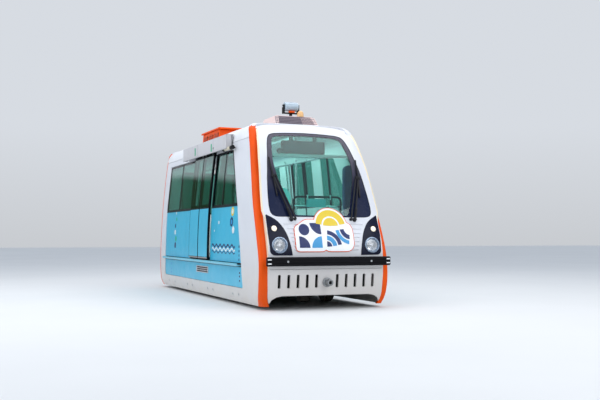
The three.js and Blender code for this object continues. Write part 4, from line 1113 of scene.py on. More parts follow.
for label, side in SIDES:
    where = on_side(side)
    marks = []

    def mark(loop, material, level=0):
        marks.append(skin(f"mark_{len(marks)}", where, loop, material, depth=0.0094 - 0.0005 * level, thick=0.001,
                          step=0.09, edge=0))

    for x, z, r, material in ((1.83, 1.49, 0.075, YELLOW), (1.8, 1.32, 0.078, DEEP_BLUE),
                              (1.9, 1.19, 0.06, BADGE_WHITE), (1.09, 1.32, 0.03, BADGE_WHITE),
                              (0.84, 1.18, 0.02, BADGE_WHITE)):
        mark(circle(x, z, r, 28), material)
    mark(circle(1.83, 1.49, 0.042, 24), BADGE_WHITE, 1)
    mark(circle(1.8, 1.32, 0.04, 24), CYAN, 1)
    for k, (z, high, thick) in enumerate(((0.925, 0.022, 0.034), (0.868, 0.022, 0.026), (0.82, 0.018, 0.018))):
        mark(wave_band(0.72, 2.02, z, high, 6, thick), (DEEP_BLUE, BADGE_WHITE, DEEP_BLUE)[k])
    for k in range(6):
        mark(circle(-1.92 + 0.05 * math.sin(k * 1.9), 0.9 + 0.13 * k, 0.062 - 0.006 * k, 24),
             (DEEP_BLUE, GREEN_MARK, BADGE_WHITE)[k % 3])
    for z in (0.923, 0.851, 0.785, 0.719):
        mark(box_loop(2.215, 2.255, z - 0.018, z + 0.018, 0.006), DEEP_BLUE)
    for z in (0.511, 0.457, 0.386):
        mark(box_loop(2.25, 2.3, z - 0.016, z + 0.016, 0.006), DEEP_BLUE)
    for z in (0.52, 0.42, 0.345):
        mark(box_loop(-2.24, -2.18, z - 0.02, z + 0.02, 0.006), CYAN)
    join(f"vinyl_marks_{label}", marks)
print("side marks:", MADE)

# %% [markdown]
# ## Doors
#
# Each leaf hangs outside the wall from two trolleys and is guided by a tongue in the ledge. The leaf is a
# black rubber-edged frame with a blue skin below and a bonded pane above. Every piece of a leaf rides with
# that leaf, so the doors open as the real ones do.

# %% Door leaves
RAIL_Y = 0.962  # the rail that the trolleys run on, off the middle line
ROLLER = [(0, -0.008), (0.013, -0.008), (0.016, -0.005), (0.016, 0.005), (0.013, 0.008), (0, 0.008)]
HANGER_BOLT = bolt_head(0.009, 0.004, 0.007, 0.006, -0.006)
for label, side in SIDES:
    where = on_side(side)
    for place, way in (("front", 1), ("rear", -1)):
        body = f"door_leaf_{place}_{label}"

        def span(a, b, z0, z1, radius=0.0):
            x0, x1 = sorted((way * a, way * b))
            return box_loop(x0, x1, z0, z1, radius)

        hole = span(0.052, 0.572, 1.645, 2.49, 0.04)
        sheets = {
            name: skin(f"{body}_{name}", where, span(*area), material, holes, depth, thick, step, edge, body)
            for name, area, material, holes, depth, thick, step, edge in (
                ("frame", (0.006, 0.616, 0.69, 2.556, 0.012), BLACK, [hole], -0.046, 0.034, 0.1, 0.003),
                ("skin", (0.026, 0.602, 0.722, 1.572, 0.008), BLUE, (), -0.05, 0.006, 0.1, 0.002),
                ("lining", (0.03, 0.596, 0.72, 1.62, 0.01), LINING, (), -0.012, 0.003, 0.12, 0.0015),
                ("pane", (0.018, 0.606, 1.592, 2.53, 0.012), SIDE_GLASS, (), -0.0515, 0.005, 0.1, 0.001),
                ("kick_strip", (0.016, 0.606, 0.692, 0.716), STEEL, (), -0.051, 0.005, 0.1, 0.0015),
            )
        }
        dress(f"door_{place}_{label}", by=sheets["frame"])
        dress(f"door_glass_{place}_{label}", by=sheets["pane"])
        for name, a, b in (("nose_rubber", 0.004, 0.02), ("edge_rubber", 0.606, 0.618)):
            at_x = way * (a + b) / 2
            run = [tuple(where(at_x, z, -0.03)) for z in np.linspace(0.7, 2.55, 24)]
            oval = [((b - a) / 2 * math.cos(t), 0.021 * math.sin(t)) for t in np.linspace(0, 2 * math.pi, 15)[:-1]]
            sweep(f"{body}_{name}", run, (0, side, 0.05), oval, BUMPER, body, smooth=60)
        hangers = []
        for x in (0.096, 0.526):
            y = side * 0.985
            low, high = (way * x - 0.033, y, 2.535), (way * x + 0.033, y - side * 0.007, 2.7)
            hangers.append(block(f"plate_{x}", low, high, STEEL, body, 0.002))
            for dx in (-0.018, 0.018):
                centre = (way * x + dx, side * RAIL_Y, 2.682)
                hangers.append(turn_piece(f"roller_{x}_{dx}", ROLLER, "y", centre, CASTING, body, 18))
            hangers.append(turn_piece(f"bolt_{x}", HANGER_BOLT, "y", (way * x, side * 0.99, 2.6), CASTING, body, 12))
        tongue = [tuple(where(way * x, 0.676, -0.038)) for x in np.linspace(0.064, 0.556, 4)]
        hangers.append(sweep("tongue", tongue, (0, 0, 1), oblong(0.004, 0.03), BUMPER, body))
        join(f"{body}_hangers", hangers)
print("with door leaves:", MADE)

# %% [markdown]
# The operator cover over the doors is a folded sheet with end plates. It is wide open below so that the
# hangers can pass. Two green ticks show maintenance staff where the closed leaves stand.

# %% Door operator covers
COVER_X = (-1.3, 1.52)
COVER_Y = 1.0455  # the cover's outer face
ACTUATOR_Z = 2.545
BARREL = [(0, -0.18), (0.028, -0.18), (0.03, -0.17), (0.03, 0.17), (0.028, 0.18), (0, 0.18)]
CAP = bolt_head(0.034, 0.05, 0.028, 0.055, -0.05)
for label, side in SIDES:
    outer_line = [(0.944, 2.655), (0.93, 2.7), (0.917, 2.735), (0.905, 2.777), (0.912, 2.786), (1.024, 2.787),
                  (1.04, 2.78), (1.0455, 2.765), (1.0455, 2.539)]
    inner_line = [(1.038, 2.539), (1.038, 2.76), (1.02, 2.779), (0.93, 2.779), (0.937, 2.7), (0.95, 2.66)]
    fold = [(-side * (y - 1.0), z - 2.65) for y, z in outer_line + inner_line]
    run = [(x, side * 1.0, 2.65) for x in np.linspace(*COVER_X, 12)]
    shell = sweep(f"door_cover_shell_{label}", run, (0, 0, 1), fold, COVER, smooth=40)
    dress(f"door_cover_{label}", by=shell)
    trims = []
    for x in COVER_X:
        d = 0.004 if x < 0 else -0.004
        trims.append(block(f"end_plate_{x}", (x, side * 0.95, 2.545), (x + d, side * 1.04, 2.78), COVER, edge=0.0008))
    for x in (-0.27, 0.76):
        low, high = (x - 0.002, side * 1.0445, 2.54), (x + 0.002, side * 1.0462, 2.77)
        trims.append(block(f"cover_seam_{x}", low, high, DARK, edge=0))
    screw = bolt_head(0.006, 0, 0.004, 0.002, -0.002)
    for x in np.linspace(COVER_X[0] + 0.05, COVER_X[1] - 0.05, 14):
        for z in (2.56, 2.755):
            trims.append(turn_piece(f"screw_{x:.2f}_{z}", screw, "y", (x, side * COVER_Y, z), STEEL, segments=8))
    for x, a, b in ((-0.42, 2.583, 2.727), (0.65, 2.566, 2.701)):
        low, high = (x - 0.034, side * 1.0452, a), (x + 0.034, side * 1.0464, b)
        trims.append(block(f"tick_{x}", low, high, GREEN_MARK, edge=0.0004))
    lock = bolt_head(0.02, 0, 0.016, 0.002, -0.002)
    trims.append(turn_piece("cover_lock", lock, "y", (0.769, side * COVER_Y, 2.615), BLACK, segments=20))
    trims.append(tube("cover_lip", [(x, side * 1.043, 2.539) for x in COVER_X], 0.004, CASTING, n=8))
    join(f"door_cover_fittings_{label}", trims)
    tube(f"door_rail_{label}", [(x, side * RAIL_Y, 2.652) for x in (-1.25, 1.45)], 0.014, STEEL)
    buff = finish(f"actuator buff {label}", (0.62, 0.56, 0.42), rough=0.4, tone=0.1)
    actuator = [
        turn_piece(name, profile, "x", (x, side, ACTUATOR_Z), material, segments=20)
        for name, profile, x, material in (
            ("barrel", BARREL, 1.5, buff), ("cap_front", CAP, 1.71, BLACK),
            ("cap_rear", [(r, -l) for r, l in CAP[::-1]], 1.29, BLACK),
        )
    ]
    for x in (1.34, 1.66):
        actuator.append(block(f"saddle_{x}", (x - 0.012, side * 0.925, 2.535), (x + 0.012, side * 0.985, 2.555),
                              BLACK))
    join(f"door_actuator_{label}", actuator)
print("doors:", MADE)

# %% [markdown]
# ## Windscreen and wipers
#
# The windscreen is one tinted pane, bonded into a rebate. A printed border hides the glue and the frame
# behind it. It is wide in both lower corners, where it fades to navy, and narrow and grey at the top. It is
# made as a thin layer over the pane, because that is what it is.

# %% Windscreen
CLEAR_EDGE = [
    (0, 2.706), (0.35, 2.695), (0.52, 2.682), (0.592, 2.648), (0.624, 2.53), (0.65, 2.39), (0.664, 2.25),
    (0.655, 2.13), (0.636, 2.0), (0.575, 1.79), (0.52, 1.62), (0.44, 1.412), (0, 1.405),
]
pane_loop = rounded(mirrored(SCREEN_EDGE), 0.03, 3)
clear_loop = rounded(mirrored(CLEAR_EDGE), 0.04, 4)
pane = skin("windscreen_pane", on_nose, grow(pane_loop, -0.003), SCREEN, depth=0.008, thick=0.006, step=0.07,
            edge=0.001)
dress("windscreen", by=pane)
skin("windscreen_border", on_nose, grow(pane_loop, -0.004), SCREEN_BORDER, [clear_loop], depth=0.0062, thick=0.0012,
     step=0.07, edge=0)
skin("windscreen_glue", on_nose, grow(pane_loop, 0.01), DARK, [grow(clear_loop, -0.002)], depth=0.021, thick=0.012,
     step=0.1, edge=0)
seal_path = [tuple(on_nose(y, z, 0.006)) for y, z in loop_points(grow(pane_loop, -0.003), 0.05)]
sweep("windscreen_seal", seal_path, (1, 0, 0.4), ring(0.0055, 6), BLACK, closed=True)
print("windscreen, metres high on the rake:", round(SCREEN_EDGE[0][1] - SCREEN_EDGE[-1][1], 3))

# %% [markdown]
# Each wiper has two arms side by side on two spindles. They keep the blade upright as it crosses the glass.
# The blade itself is a rubber strip under a spine, held by a yoke with claws. All of it rides on the arm.

# %% Wipers
RAKE = math.atan((3.165 - 2.816) / (2.1 - 1.3))
PIVOT = {"y": 0.525, "z": 1.34, "second": (-0.062, 0.008), "head": (0.192, 0.72), "half_blade": 0.335, "lean": 0.07}


def on_glass(side, across, up, high):
    """A point over the windscreen: out from the pivot, up the glass and off it."""
    x = float(np.interp(PIVOT["z"], *zip(*NOSE))) + math.cos(RAKE) * high - math.sin(RAKE) * up
    return (x, side * (PIVOT["y"] + across), PIVOT["z"] + math.sin(RAKE) * high + math.cos(RAKE) * up)


def flat_bar(w, t):
    """Section of a pressed bar, narrower on top than at its foot."""
    return [(-w, -t), (-w * 0.7, t), (w * 0.7, t), (w, -t)]


OUT = (math.cos(RAKE), 0, math.sin(RAKE))
NUT = bolt_head(0.011, 0.008, 0.007, 0.011)
RUBBER = [(-0.012, 0.003), (0.012, 0.003), (0.012, -0.001), (0.003, -0.003), (0.0015, -0.012), (-0.0015, -0.012),
          (-0.003, -0.003), (-0.012, -0.001)]
LEAN = (math.sin(PIVOT["lean"]), math.cos(PIVOT["lean"]))
for label, side in SIDES:
    body = f"wiper_arm_{label}"
    (hx, hy), (sx, sy) = PIVOT["head"], PIVOT["second"]
    knee = (hx * 0.24, hy * 0.24)
    parts = []
    for (a, u), r, h in (((0, 0), 0.026, 0.05), ((sx, sy), 0.019, 0.042)):
        stub = [(0, 0.0), (r * 1.25, 0.0), (r * 1.25, 0.006), (r, 0.01), (r, h - 0.008), (r * 0.75, h), (0, h)]
        parts.append(turn_piece(f"spindle_{r}", stub, OUT, on_glass(side, a, u, 0.001), WIPER_BLACK, body, 20))

    def line(p, q, h0, h1, n=8):
        """Points over the glass from p to q, rising from one height to another."""
        shares = np.linspace(0, 1, n)
        return [on_glass(side, p[0] + (q[0] - p[0]) * s, p[1] + (q[1] - p[1]) * s, h0 + (h1 - h0) * s) for s in shares]

    def along(s, h):
        """A point on the blade's line, s from its middle and h over the glass."""
        return on_glass(side, hx + LEAN[0] * s, hy + LEAN[1] * s, h)

    def bar(name, path, w, t):
        parts.append(sweep(name, path, OUT, flat_bar(w, t), WIPER_BLACK, body))

    bar("arm_low", line((0, 0), knee, 0.038, 0.044), 0.022, 0.01)
    bar("arm_high", line((knee[0] * 0.92, knee[1] * 0.92), (hx, hy), 0.046, 0.036), 0.015, 0.008)
    hinge = [on_glass(side, knee[0] + dx, knee[1] + dy, 0.046) for dx, dy in ((-0.02, 0.005), (0.02, -0.005))]
    parts.append(tube("arm_hinge", hinge, 0.01, WIPER_BLACK, body))
    spring = line((hx * 0.06, hy * 0.06), (knee[0] * 0.9, knee[1] * 0.9), 0.052, 0.055)
    parts.append(tube("arm_spring", spring, 0.007, BLACK, body, n=8))
    bar("second_arm", line((sx, sy), (hx - 0.04, hy + 0.004), 0.036, 0.036), 0.012, 0.007)
    bar("link_low", line((sx - 0.012, sy + 0.002), (0.014, -0.002), 0.031, 0.031, 3), 0.015, 0.006)
    bar("head_plate", line((hx - 0.052, hy + 0.005), (hx + 0.03, hy - 0.002), 0.038, 0.036, 4), 0.03, 0.011)
    for da in (-0.04, 0.0):
        centre = on_glass(side, hx + da, hy + 0.002, 0.048)
        parts.append(turn_piece(f"head_nut_{da}", NUT, OUT, centre, WIPER_BLACK, body, 6))
    bar("yoke", [along(s, 0.034 - 0.012 * abs(s / 0.2) ** 2) for s in np.linspace(-0.2, 0.2, 13)], 0.012, 0.006)
    for s in (-0.2, 0.2):
        claw = [along(s + d, 0.021 - 0.006 * abs(d / 0.1) ** 2) for d in np.linspace(-0.1, 0.1, 7)]
        bar(f"claw_{s}", claw, 0.01, 0.0045)
    arms = join(f"{body}_arms", parts)
    spine = [along(s, 0.0125) for s in np.linspace(-PIVOT["half_blade"], PIVOT["half_blade"], 12)]
    sweep(f"{body}_blade", spine, OUT, RUBBER, BLACK, body)
    dress(f"wiper_{label}", by=arms)
print("windscreen and wipers:", MADE)

# %% [markdown]
# ## Lamps
#
# Each lamp group is a leaf-shaped navy panel with a large and a small round lamp. A lamp reads as a lamp
# when there is something behind the glass, so each large one gets a bowl, a bulb and a fluted lens in a rim.

# %% Lamp panels and lamps
leaf_curve = smooth_line([(0.562, 0.81), (0.568, 0.86), (0.597, 1.01), (0.648, 1.165), (0.75, 1.312),
                          (0.912, 1.418)], 0.03)
LEAF = [tuple(map(float, p)) for p in leaf_curve] + [(0.921, 1.408), (0.926, 1.128), (0.913, 0.92)]
LEAF += [(0.913 - 0.075 * (1 - math.cos(t)), 0.884 - 0.075 * math.sin(t))
         for t in np.linspace(0.1, math.pi / 2, 7)] + [(0.575, 0.806)]
for label, side in SIDES:
    loop = [(side * y, z) for y, z in LEAF]
    holes = [circle(side * LAMPS["y"], LAMPS["z"], 0.121, 40), circle(side * LAMPS["y2"], LAMPS["z2"], 0.053, 26)]
    leaf = skin(f"lamp_leaf_{label}", on_nose, loop, NAVY, holes, depth=-0.006, thick=0.008, step=0.05, edge=0.0025)
    dress(f"lamp_panel_{label}", by=leaf)
    lens = [(0, 0.03)]
    for k in range(1, 12):
        r = 0.0088 * k
        lens.append((r, 0.03 - 0.022 * (r / 0.1) ** 2 + (0.0012 if k % 2 else -0.0006)))
    lens += [(0.1015, 0.004), (0.098, 0.001), (0.05, 0.019), (0, 0.025)]
    large = [
        ("rim", RIM_SILVER, 48, [(0.1, -0.02), (0.1225, -0.02), (0.1235, 0.016), (0.119, 0.024), (0.111, 0.025),
                             (0.103, 0.014), (0.1, 0.002)]),
        ("inner_rim", RIM_BLUE, 48, [(0.086, -0.03), (0.1005, -0.03), (0.1005, 0.004), (0.092, 0.0), (0.086, -0.01)]),
        ("bowl", CHROME, 48, [(0, -0.066), (0.03, -0.062), (0.06, -0.044), (0.082, -0.018), (0.0875, -0.004),
                              (0.0895, -0.006), (0.084, -0.022), (0.06, -0.05), (0.03, -0.069), (0, -0.073)]),
        ("bulb", BULB, 24, [(0, -0.066), (0.013, -0.066), (0.014, -0.03), (0.024, -0.026), (0.026, -0.012),
                            (0.017, -0.004), (0, -0.002)]),
        ("lens", LENS, 48, lens),
    ]
    small = [
        ("small_rim", NAVY, 32, [(0.044, -0.015), (0.0535, -0.015), (0.054, 0.01), (0.05, 0.015), (0.045, 0.01)]),
        ("small_lens", WARM_LENS, 32, [(0, 0.022), (0.018, 0.021), (0.034, 0.016), (0.045, 0.006),
                                        (0.045, -0.01), (0, -0.01)]),
    ]
    parts = []
    for y, z, inset, rise, rows in ((LAMPS["y"], LAMPS["z"], 0.004, 0.13, large),
            (LAMPS["y2"], LAMPS["z2"], 0.002, 0.3, small)):
        centre = (float(nose_x(z)) - inset, side * y, z)
        for name, material, segments, profile in rows:
            parts.append(turn_piece(name, profile, (1, 0, rise), centre, material, segments=segments))
    lamp = join(f"headlamp_{label}", parts)
    dress(f"headlamps_{label}", by=lamp)
print("lamps, pieces in each group:", len(parts))

# %% [markdown]
# ## Badge
#
# A cut-out badge sits low on the nose. It is a plain pattern of quarter discs, a half disc and curved bands
# on a white plate with an orange edge. The plate stands a little off the nose and reaches over the foot of
# the windscreen. Each colour is a thin piece of its own, as on a sign that is built up from cut sheet.


# %% Badge of discs and bands
def wedge(y, z, r, start, end, inner=0.0, n=20):
    """A slice of a disc or of a band, with its angles in degrees."""
    turn = np.radians(np.linspace(start, end, n))
    outer = [(y + r * math.cos(t), z + r * math.sin(t)) for t in turn]
    return outer + ([(y + inner * math.cos(t), z + inner * math.sin(t)) for t in turn[::-1]] if inner else [(y, z)])


plates = {
    "left": rounded([(-0.49, 0.875), (-0.03, 0.875), (-0.03, 1.325), (-0.31, 1.325), (-0.42, 1.252), (-0.49, 1.215)],
                    0.05, 4),
    "right": rounded([(-0.06, 0.875), (0.44, 0.875), (0.44, 1.29), (-0.06, 1.29)], 0.13, 5),
    "top": wedge(0.1, 1.24, 0.262, -2, 182, n=30),
}
parts = []
for label, loop in plates.items():
    for grown, up, thick, material in ((0.022, 0.011, 0.0095, ORANGE), (0.012, 0.0135, 0.004, BADGE_WHITE)):
        parts.append(skin(f"plate_{label}_{grown}", on_nose, grow(loop, grown), material, depth=-up, thick=thick,
                          step=0.05, edge=0.0008))
marks = [
    (wedge(-0.445, 0.915, 0.17, 0, 90), DEEP_BLUE), (wedge(-0.075, 0.915, 0.17, 90, 180), CYAN),
    (circle(-0.35, 1.185, 0.085), DEEP_BLUE), (wedge(-0.075, 1.285, 0.17, 180, 270), DEEP_BLUE),
    (wedge(0.1, 1.24, 0.245, 8, 172, 0.15, 30), YELLOW), (wedge(0.1, 1.24, 0.125, 4, 176), YELLOW),
    (wedge(0.0, 0.93, 0.245, 8, 84, 0.185), DEEP_BLUE), (wedge(0.0, 0.93, 0.165, 6, 86, 0.1), CYAN),
    (wedge(0.0, 0.93, 0.082, 4, 88), DEEP_BLUE),
    (wedge(0.4, 1.2, 0.235, 186, 262, 0.18), CYAN), (wedge(0.4, 1.2, 0.16, 184, 264, 0.095), DEEP_BLUE),
]
for k, (loop, material) in enumerate(marks):
    parts.append(skin(f"mark_{k}", on_nose, loop, material, depth=-0.0155 - 0.0002 * k, thick=0.003, step=0.04,
                      edge=0.0005))
join("nose_badge", parts)
print("lamps and badge:", MADE)

# %% [markdown]
# ## Bumper and towing gear
#
# The bumper is an extruded rubber bar with two grooves, bolted to four brackets. Its ends carry short pale
# strips. The towing socket under it is a casting with a bolted flange and a bore for the tow bar's pin.

# %% Bumper
BUMPER_Z, BUMPER_HALF = 0.7175, 0.0675  # the bar's middle height and half its height


def bumper_section(scale=1.0):
    """The bar's outline, as (x, z), drawn in towards its ends."""
    points = [(3.378, -1), (3.42, -1), (3.428, -0.93), (3.43, -0.86), (3.43, -0.42), (3.422, -0.38), (3.422, -0.26),
              (3.43, -0.22),
              (3.43, 0.22), (3.422, 0.26), (3.422, 0.38), (3.43, 0.42), (3.43, 0.86), (3.428, 0.93), (3.42, 1),
              (3.378, 1)]
    return [(3.4 + (x - 3.4) * (0.8 + 0.2 * scale), BUMPER_Z + z * BUMPER_HALF * scale) for x, z in points]


stations = [(-1.005, 0.86), (-1.001, 0.94), (-0.992, 0.99), (-0.975, 1.0), (-0.5, 1.0), (0, 1.0), (0.5, 1.0),
            (0.975, 1.0), (0.992, 0.99), (1.001, 0.94), (1.005, 0.86)]
verts = [(x, y, z) for y, s in stations for x, z in bumper_section(s)]
faces = loft_faces(len(stations), len(bumper_section()))
bar = tidy_normals(keep_mesh("bumper_bar_rubber", verts, faces, BUMPER, edge=0.0015, smooth=30))
dress("bumper_bar", by=bar)
parts = []
for y in (-0.64, -0.22, 0.22, 0.64):
    parts.append(block(f"bumper_foot_{y}", (3.302, y - 0.034, 0.67), (3.382, y + 0.034, 0.765), CHASSIS, edge=0.003))
    parts.append(block(f"bumper_plate_{y}", (3.303, y - 0.05, 0.66), (3.3165, y + 0.05, 0.775), CASTING, edge=0.002))
for side in (1, -1):
    for z in (0.7485, 0.6885):
        low, high = (3.4285, side * 0.938, z - 0.0085), (3.4312, side * 0.996, z + 0.0085)
        parts.append(block(f"end_strip_{side}_{z}", low, high, BADGE_WHITE, edge=0.0006))
    bolt = [(0, 0.0), (0.014, 0.0), (0.016, 0.003), (0.012, 0.007), (0, 0.008)]
    parts.append(turn_piece(f"bolt_{side}", bolt, "x", (3.4285, side * 0.68, BUMPER_Z), STEEL, segments=16))
join("bumper_fittings", parts)
print("bumper, metres wide:", round(2 * stations[-1][0], 3))

# %% [markdown]
# The socket is turned, as a casting finished on a lathe would be: a flange, a waist and a collar round the mouth. The
# dark disc deep in the mouth is painted shade on the bottom of the bore.

# %% Towing socket
COUPLER_Z = 0.4  # height of the line that the car is pulled on, at both ends
socket = turn_piece("tow_socket_casting", [(0, 0.1), (0.026, 0.1), (0.026, 0.143), (0.03, 0.148), (0.044, 0.148),
    (0.048, 0.143), (0.048, 0.042), (0.053, 0.035), (0.07, 0.031), (0.072, 0.027), (0.072, 0.014), (0, 0.012)],
                    "x", (3.28, 0, COUPLER_Z), CASTING)
dress("tow_socket", by=socket)
parts = [turn_piece("socket_bore_shade", [(0, 0.1005), (0.0255, 0.1005), (0.0255, 0.103), (0, 0.1035)], "x",
                    (3.28, 0, COUPLER_Z), DARK, segments=24)]
bolt = bolt_head(0.008, 0.006, 0.006, 0.008)
for k in range(4):
    t = math.pi / 4 + k * math.pi / 2
    centre = (3.31, 0.06 * math.cos(t), COUPLER_Z + 0.06 * math.sin(t))
    parts.append(turn_piece(f"flange_bolt_{k}", bolt, "x", centre, STEEL, segments=6))
join("tow_socket_bolts", parts)
print("bumper and socket:", MADE)

# %% [markdown]
# ## Gear on the roof
#
# A faded housing stands over the cab, with a mesh front between two leaning cheeks. A work lamp in a yoke stands on
# it, with a small dome beside it. A longer orange housing stands at the coupling end, and flat white cooling units
# fill the roof between. Each has a flange where it meets the roof, and the orange housing's flange carries screws.


# %% Cab roof housing
def hull_box(name, low, high, z0, z1, material, edge=0.012, segments=3):
    """A box with leaning sides: low and high are (rear x, front x, half width)."""
    (a0, a1, w0), (b0, b1, w1) = low, high
    base = [(a0, -w0, z0), (a1, -w0, z0), (a1, w0, z0), (a0, w0, z0)]
    top = [(b0, -w1, z1), (b1, -w1, z1), (b1, w1, z1), (b0, w1, z1)]
    return keep_mesh(name, base + top, BOX_FACES, material, edge=edge, segments=segments)


MESH_BACK = finish("mesh backing", (0.13, 0.1, 0.13), rough=0.6, tone=0.2, grain=0.1)
MESH_GREY = finish("mesh grey", (0.17, 0.14, 0.17), rough=0.45, metal=0.4, tone=0.12, grain=0.1)
HOUSING_PALE = finish("faded housing paint", (0.8, 0.6, 0.56), rough=0.45, coat=0.05, tone=0.08, streaks=0.05,
                      dirt=0.15)
cheek = 0.055
parts = []
for side in (1, -1):
    verts = []
    for (x0, x1), w, z in (((1.585, 2.13), 0.386, 2.885), ((1.6, 1.962), 0.322, 3.08)):
        for x in (x0, x1):
            verts += [(x, side * w, z), (x, side * (w - cheek), z)]
    quads = [(0, 2, 6, 4), (1, 5, 7, 3), (0, 4, 5, 1), (2, 3, 7, 6), (4, 6, 7, 5), (0, 1, 3, 2)]
    parts.append(tidy_normals(keep_mesh(f"cheek_{side}", verts, quads, HOUSING_PALE, edge=0.01, segments=3)))
parts.append(hull_box("housing_back", (1.3, 1.64, 0.386), (1.37, 1.66, 0.322), 2.885, 3.078, HOUSING_PALE))
parts.append(hull_box("housing_top", (1.6, 1.956, 0.322), (1.62, 1.94, 0.3), 3.052, 3.0815, HOUSING_PALE, 0.006))
parts.append(hull_box("housing_core", (1.64, 2.115, 0.38), (1.65, 1.955, 0.316), 2.89, 3.066, MESH_BACK, 0.004, 1))
parts.append(hull_box("flange", (1.26, 2.12, 0.4), (1.265, 2.11, 0.396), 2.88, 2.9245, ROOF_WHITE, 0.004, 2))


def front(y, h, lift=0.0):
    """A point on the mesh front, which leans back between the cheeks."""
    return (2.125 - 0.862 * (h - 2.885) + 0.76 * lift, y, h + 0.65 * lift)


for k in range(27):
    y = -0.3705 + k * 0.0285
    upright = [front(y, 2.91), front(y * 0.93, 3.062)]
    parts.append(sweep(f"bar_{k}", upright, (1, 0, 0.8), oblong(0.004, 0.004), MESH_GREY if y < 0.1 else HOUSING_PALE))
for k in range(6):
    h = 2.915 + k * 0.029
    w = 0.382 - 0.33 * (h - 2.885)
    cross = [front(y, h, 0.004) for y in (-w, 0, w)]
    parts.append(sweep(f"cross_{k}", cross, (1, 0, 0.8), oblong(0.006, 0.003), MESH_GREY))
housing = join("cab_roof_housing", parts)
dress("nose_roof_housing", by=housing)
dome = [(0, 0.0), (0.062, 0.0), (0.062, 0.01), (0.056, 0.014), (0.055, 0.045), (0.05, 0.07), (0.038, 0.09),
        (0.02, 0.101), (0, 0.104)]
turn_piece("antenna_dome", dome, "z", (1.9, 0.13, 3.08), CREAM_DOME, segments=36)
print("cab housing and dome:", MADE)

# %% [markdown]
# The work lamp is a ribbed drum held at both ends by a yoke, so that it can be tipped and clamped. Its ribs
# are part of the turned outline, which costs nothing more than a few points.

# %% Work lamp
LAMP_X, LAMP_Z = 1.79, 3.257
LAMP_BLUE = finish("lamp glass body", (0.42, 0.52, 0.6), rough=0.22, coat=0.5, tone=0.08, streaks=0.1)
parts = []
drum = [(0, -0.118), (0.071, -0.118)]
for k in range(9):
    y = -0.108 + 0.024 * k
    drum += [(0.0785, y), (0.0785, y + 0.012), (0.0745, y + 0.014), (0.0745, y + 0.022)]
drum += [(0.071, 0.118), (0, 0.118)]
parts.append(turn_piece("drum", drum, "y", (LAMP_X, 0, LAMP_Z), LAMP_BLUE, segments=40))
for side in (1, -1):
    plate = hull_box(f"yoke_{side}", (LAMP_X - 0.043, LAMP_X + 0.043, 0.012), (LAMP_X - 0.04, LAMP_X + 0.04, 0.011),
                     3.14, 3.292, BLACK, 0.006)
    plate.data.transform(Matrix.Translation((0, side * 0.131, 0)))
    parts.append(plate)
    bolt = bolt_head(0.018, 0.008, 0.012, 0.012)
    parts.append(turn_piece(f"yoke_bolt_{side}", bolt, (0, side, 0), (LAMP_X, side * 0.142, LAMP_Z), STEEL,
                            segments=6))
parts.append(block("yoke_bar", (LAMP_X - 0.03, -0.142, 3.138), (LAMP_X + 0.03, 0.142, 3.158), BLACK, edge=0.004))
parts.append(block("yoke_clip", (LAMP_X + 0.02, -0.05, 3.155), (LAMP_X + 0.072, 0.05, 3.182), ORANGE, edge=0.006))
foot = [(0, 0.0), (0.05, 0.0), (0.05, 0.01), (0.026, 0.016), (0.026, 0.062), (0, 0.062)]
parts.append(turn_piece("yoke_foot", foot, "z", (LAMP_X, 0, 3.08), BLACK, segments=24))
lamp = join("roof_work_lamp", parts)
dress("roof_lamp", by=lamp)
print("pieces of the work lamp:", len(parts))

# %% [markdown]
# The housing at the coupling end is a box with a lid, a lower step behind it and three fields of louvres on each side.
# A louvre is a thin tilted slat, so that it throws its own shadow, and the field behind the slats is dark, as painted
# shade.

# %% Tail roof housing
parts = [
    hull_box("tail_body", (-2.18, -0.95, 0.425), (-2.15, -1.0, 0.405), 2.885, 3.186, ORANGE, 0.014),
    hull_box("tail_lid", (-2.2, -0.93, 0.44), (-2.19, -0.94, 0.43), 3.186, 3.22, ORANGE, 0.008),
    hull_box("tail_step", (-2.46, -2.16, 0.4), (-2.43, -2.16, 0.385), 2.885, 3.03, ORANGE, 0.012),
    hull_box("tail_flange", (-2.5, -0.9, 0.455), (-2.495, -0.905, 0.45), 2.88, 2.9295, ORANGE, 0.004, 2),
]
for side in (1, -1):
    for k in range(3):
        x = -2.06 + k * 0.37
        low, high = (x, side * 0.4, 2.985), (x + 0.3, side * 0.4195, 3.12)
        parts.append(block(f"louvre_shade_field_{side}_{k}", low, high, DARK, edge=0.002))
        for m in range(6):
            z = 2.995 + m * 0.022
            slat = [(x + 0.004, side * 0.42, z), (x + 0.296, side * 0.42, z)]
            parts.append(sweep(f"louvre_{side}_{k}_{m}", slat, (0, side * 0.8, -0.6), oblong(0.009, 0.0015), ORANGE))
    screw = bolt_head(0.009, 0.004, 0.005, 0.007)
    for x in (-2.42, -2.12, -1.7, -1.3, -0.98):
        parts.append(turn_piece(f"tail_screw_{side}_{x}", screw, "z", (x, side * 0.44, 2.929), STEEL, segments=6))
tail_housing = join("tail_roof_gear", parts)
dress("tail_roof_housing", "roof_aircon_rear", by=tail_housing)
print("pieces of the tail housing:", len(parts))

# %% [markdown]
# The cooling units are low cases, one with two fans and one with one. The slots along their sides are dark patches,
# painted shade where open slots would be. Each fan is a ring, a dark disc that is painted shade in its well, and a
# guard of wires.

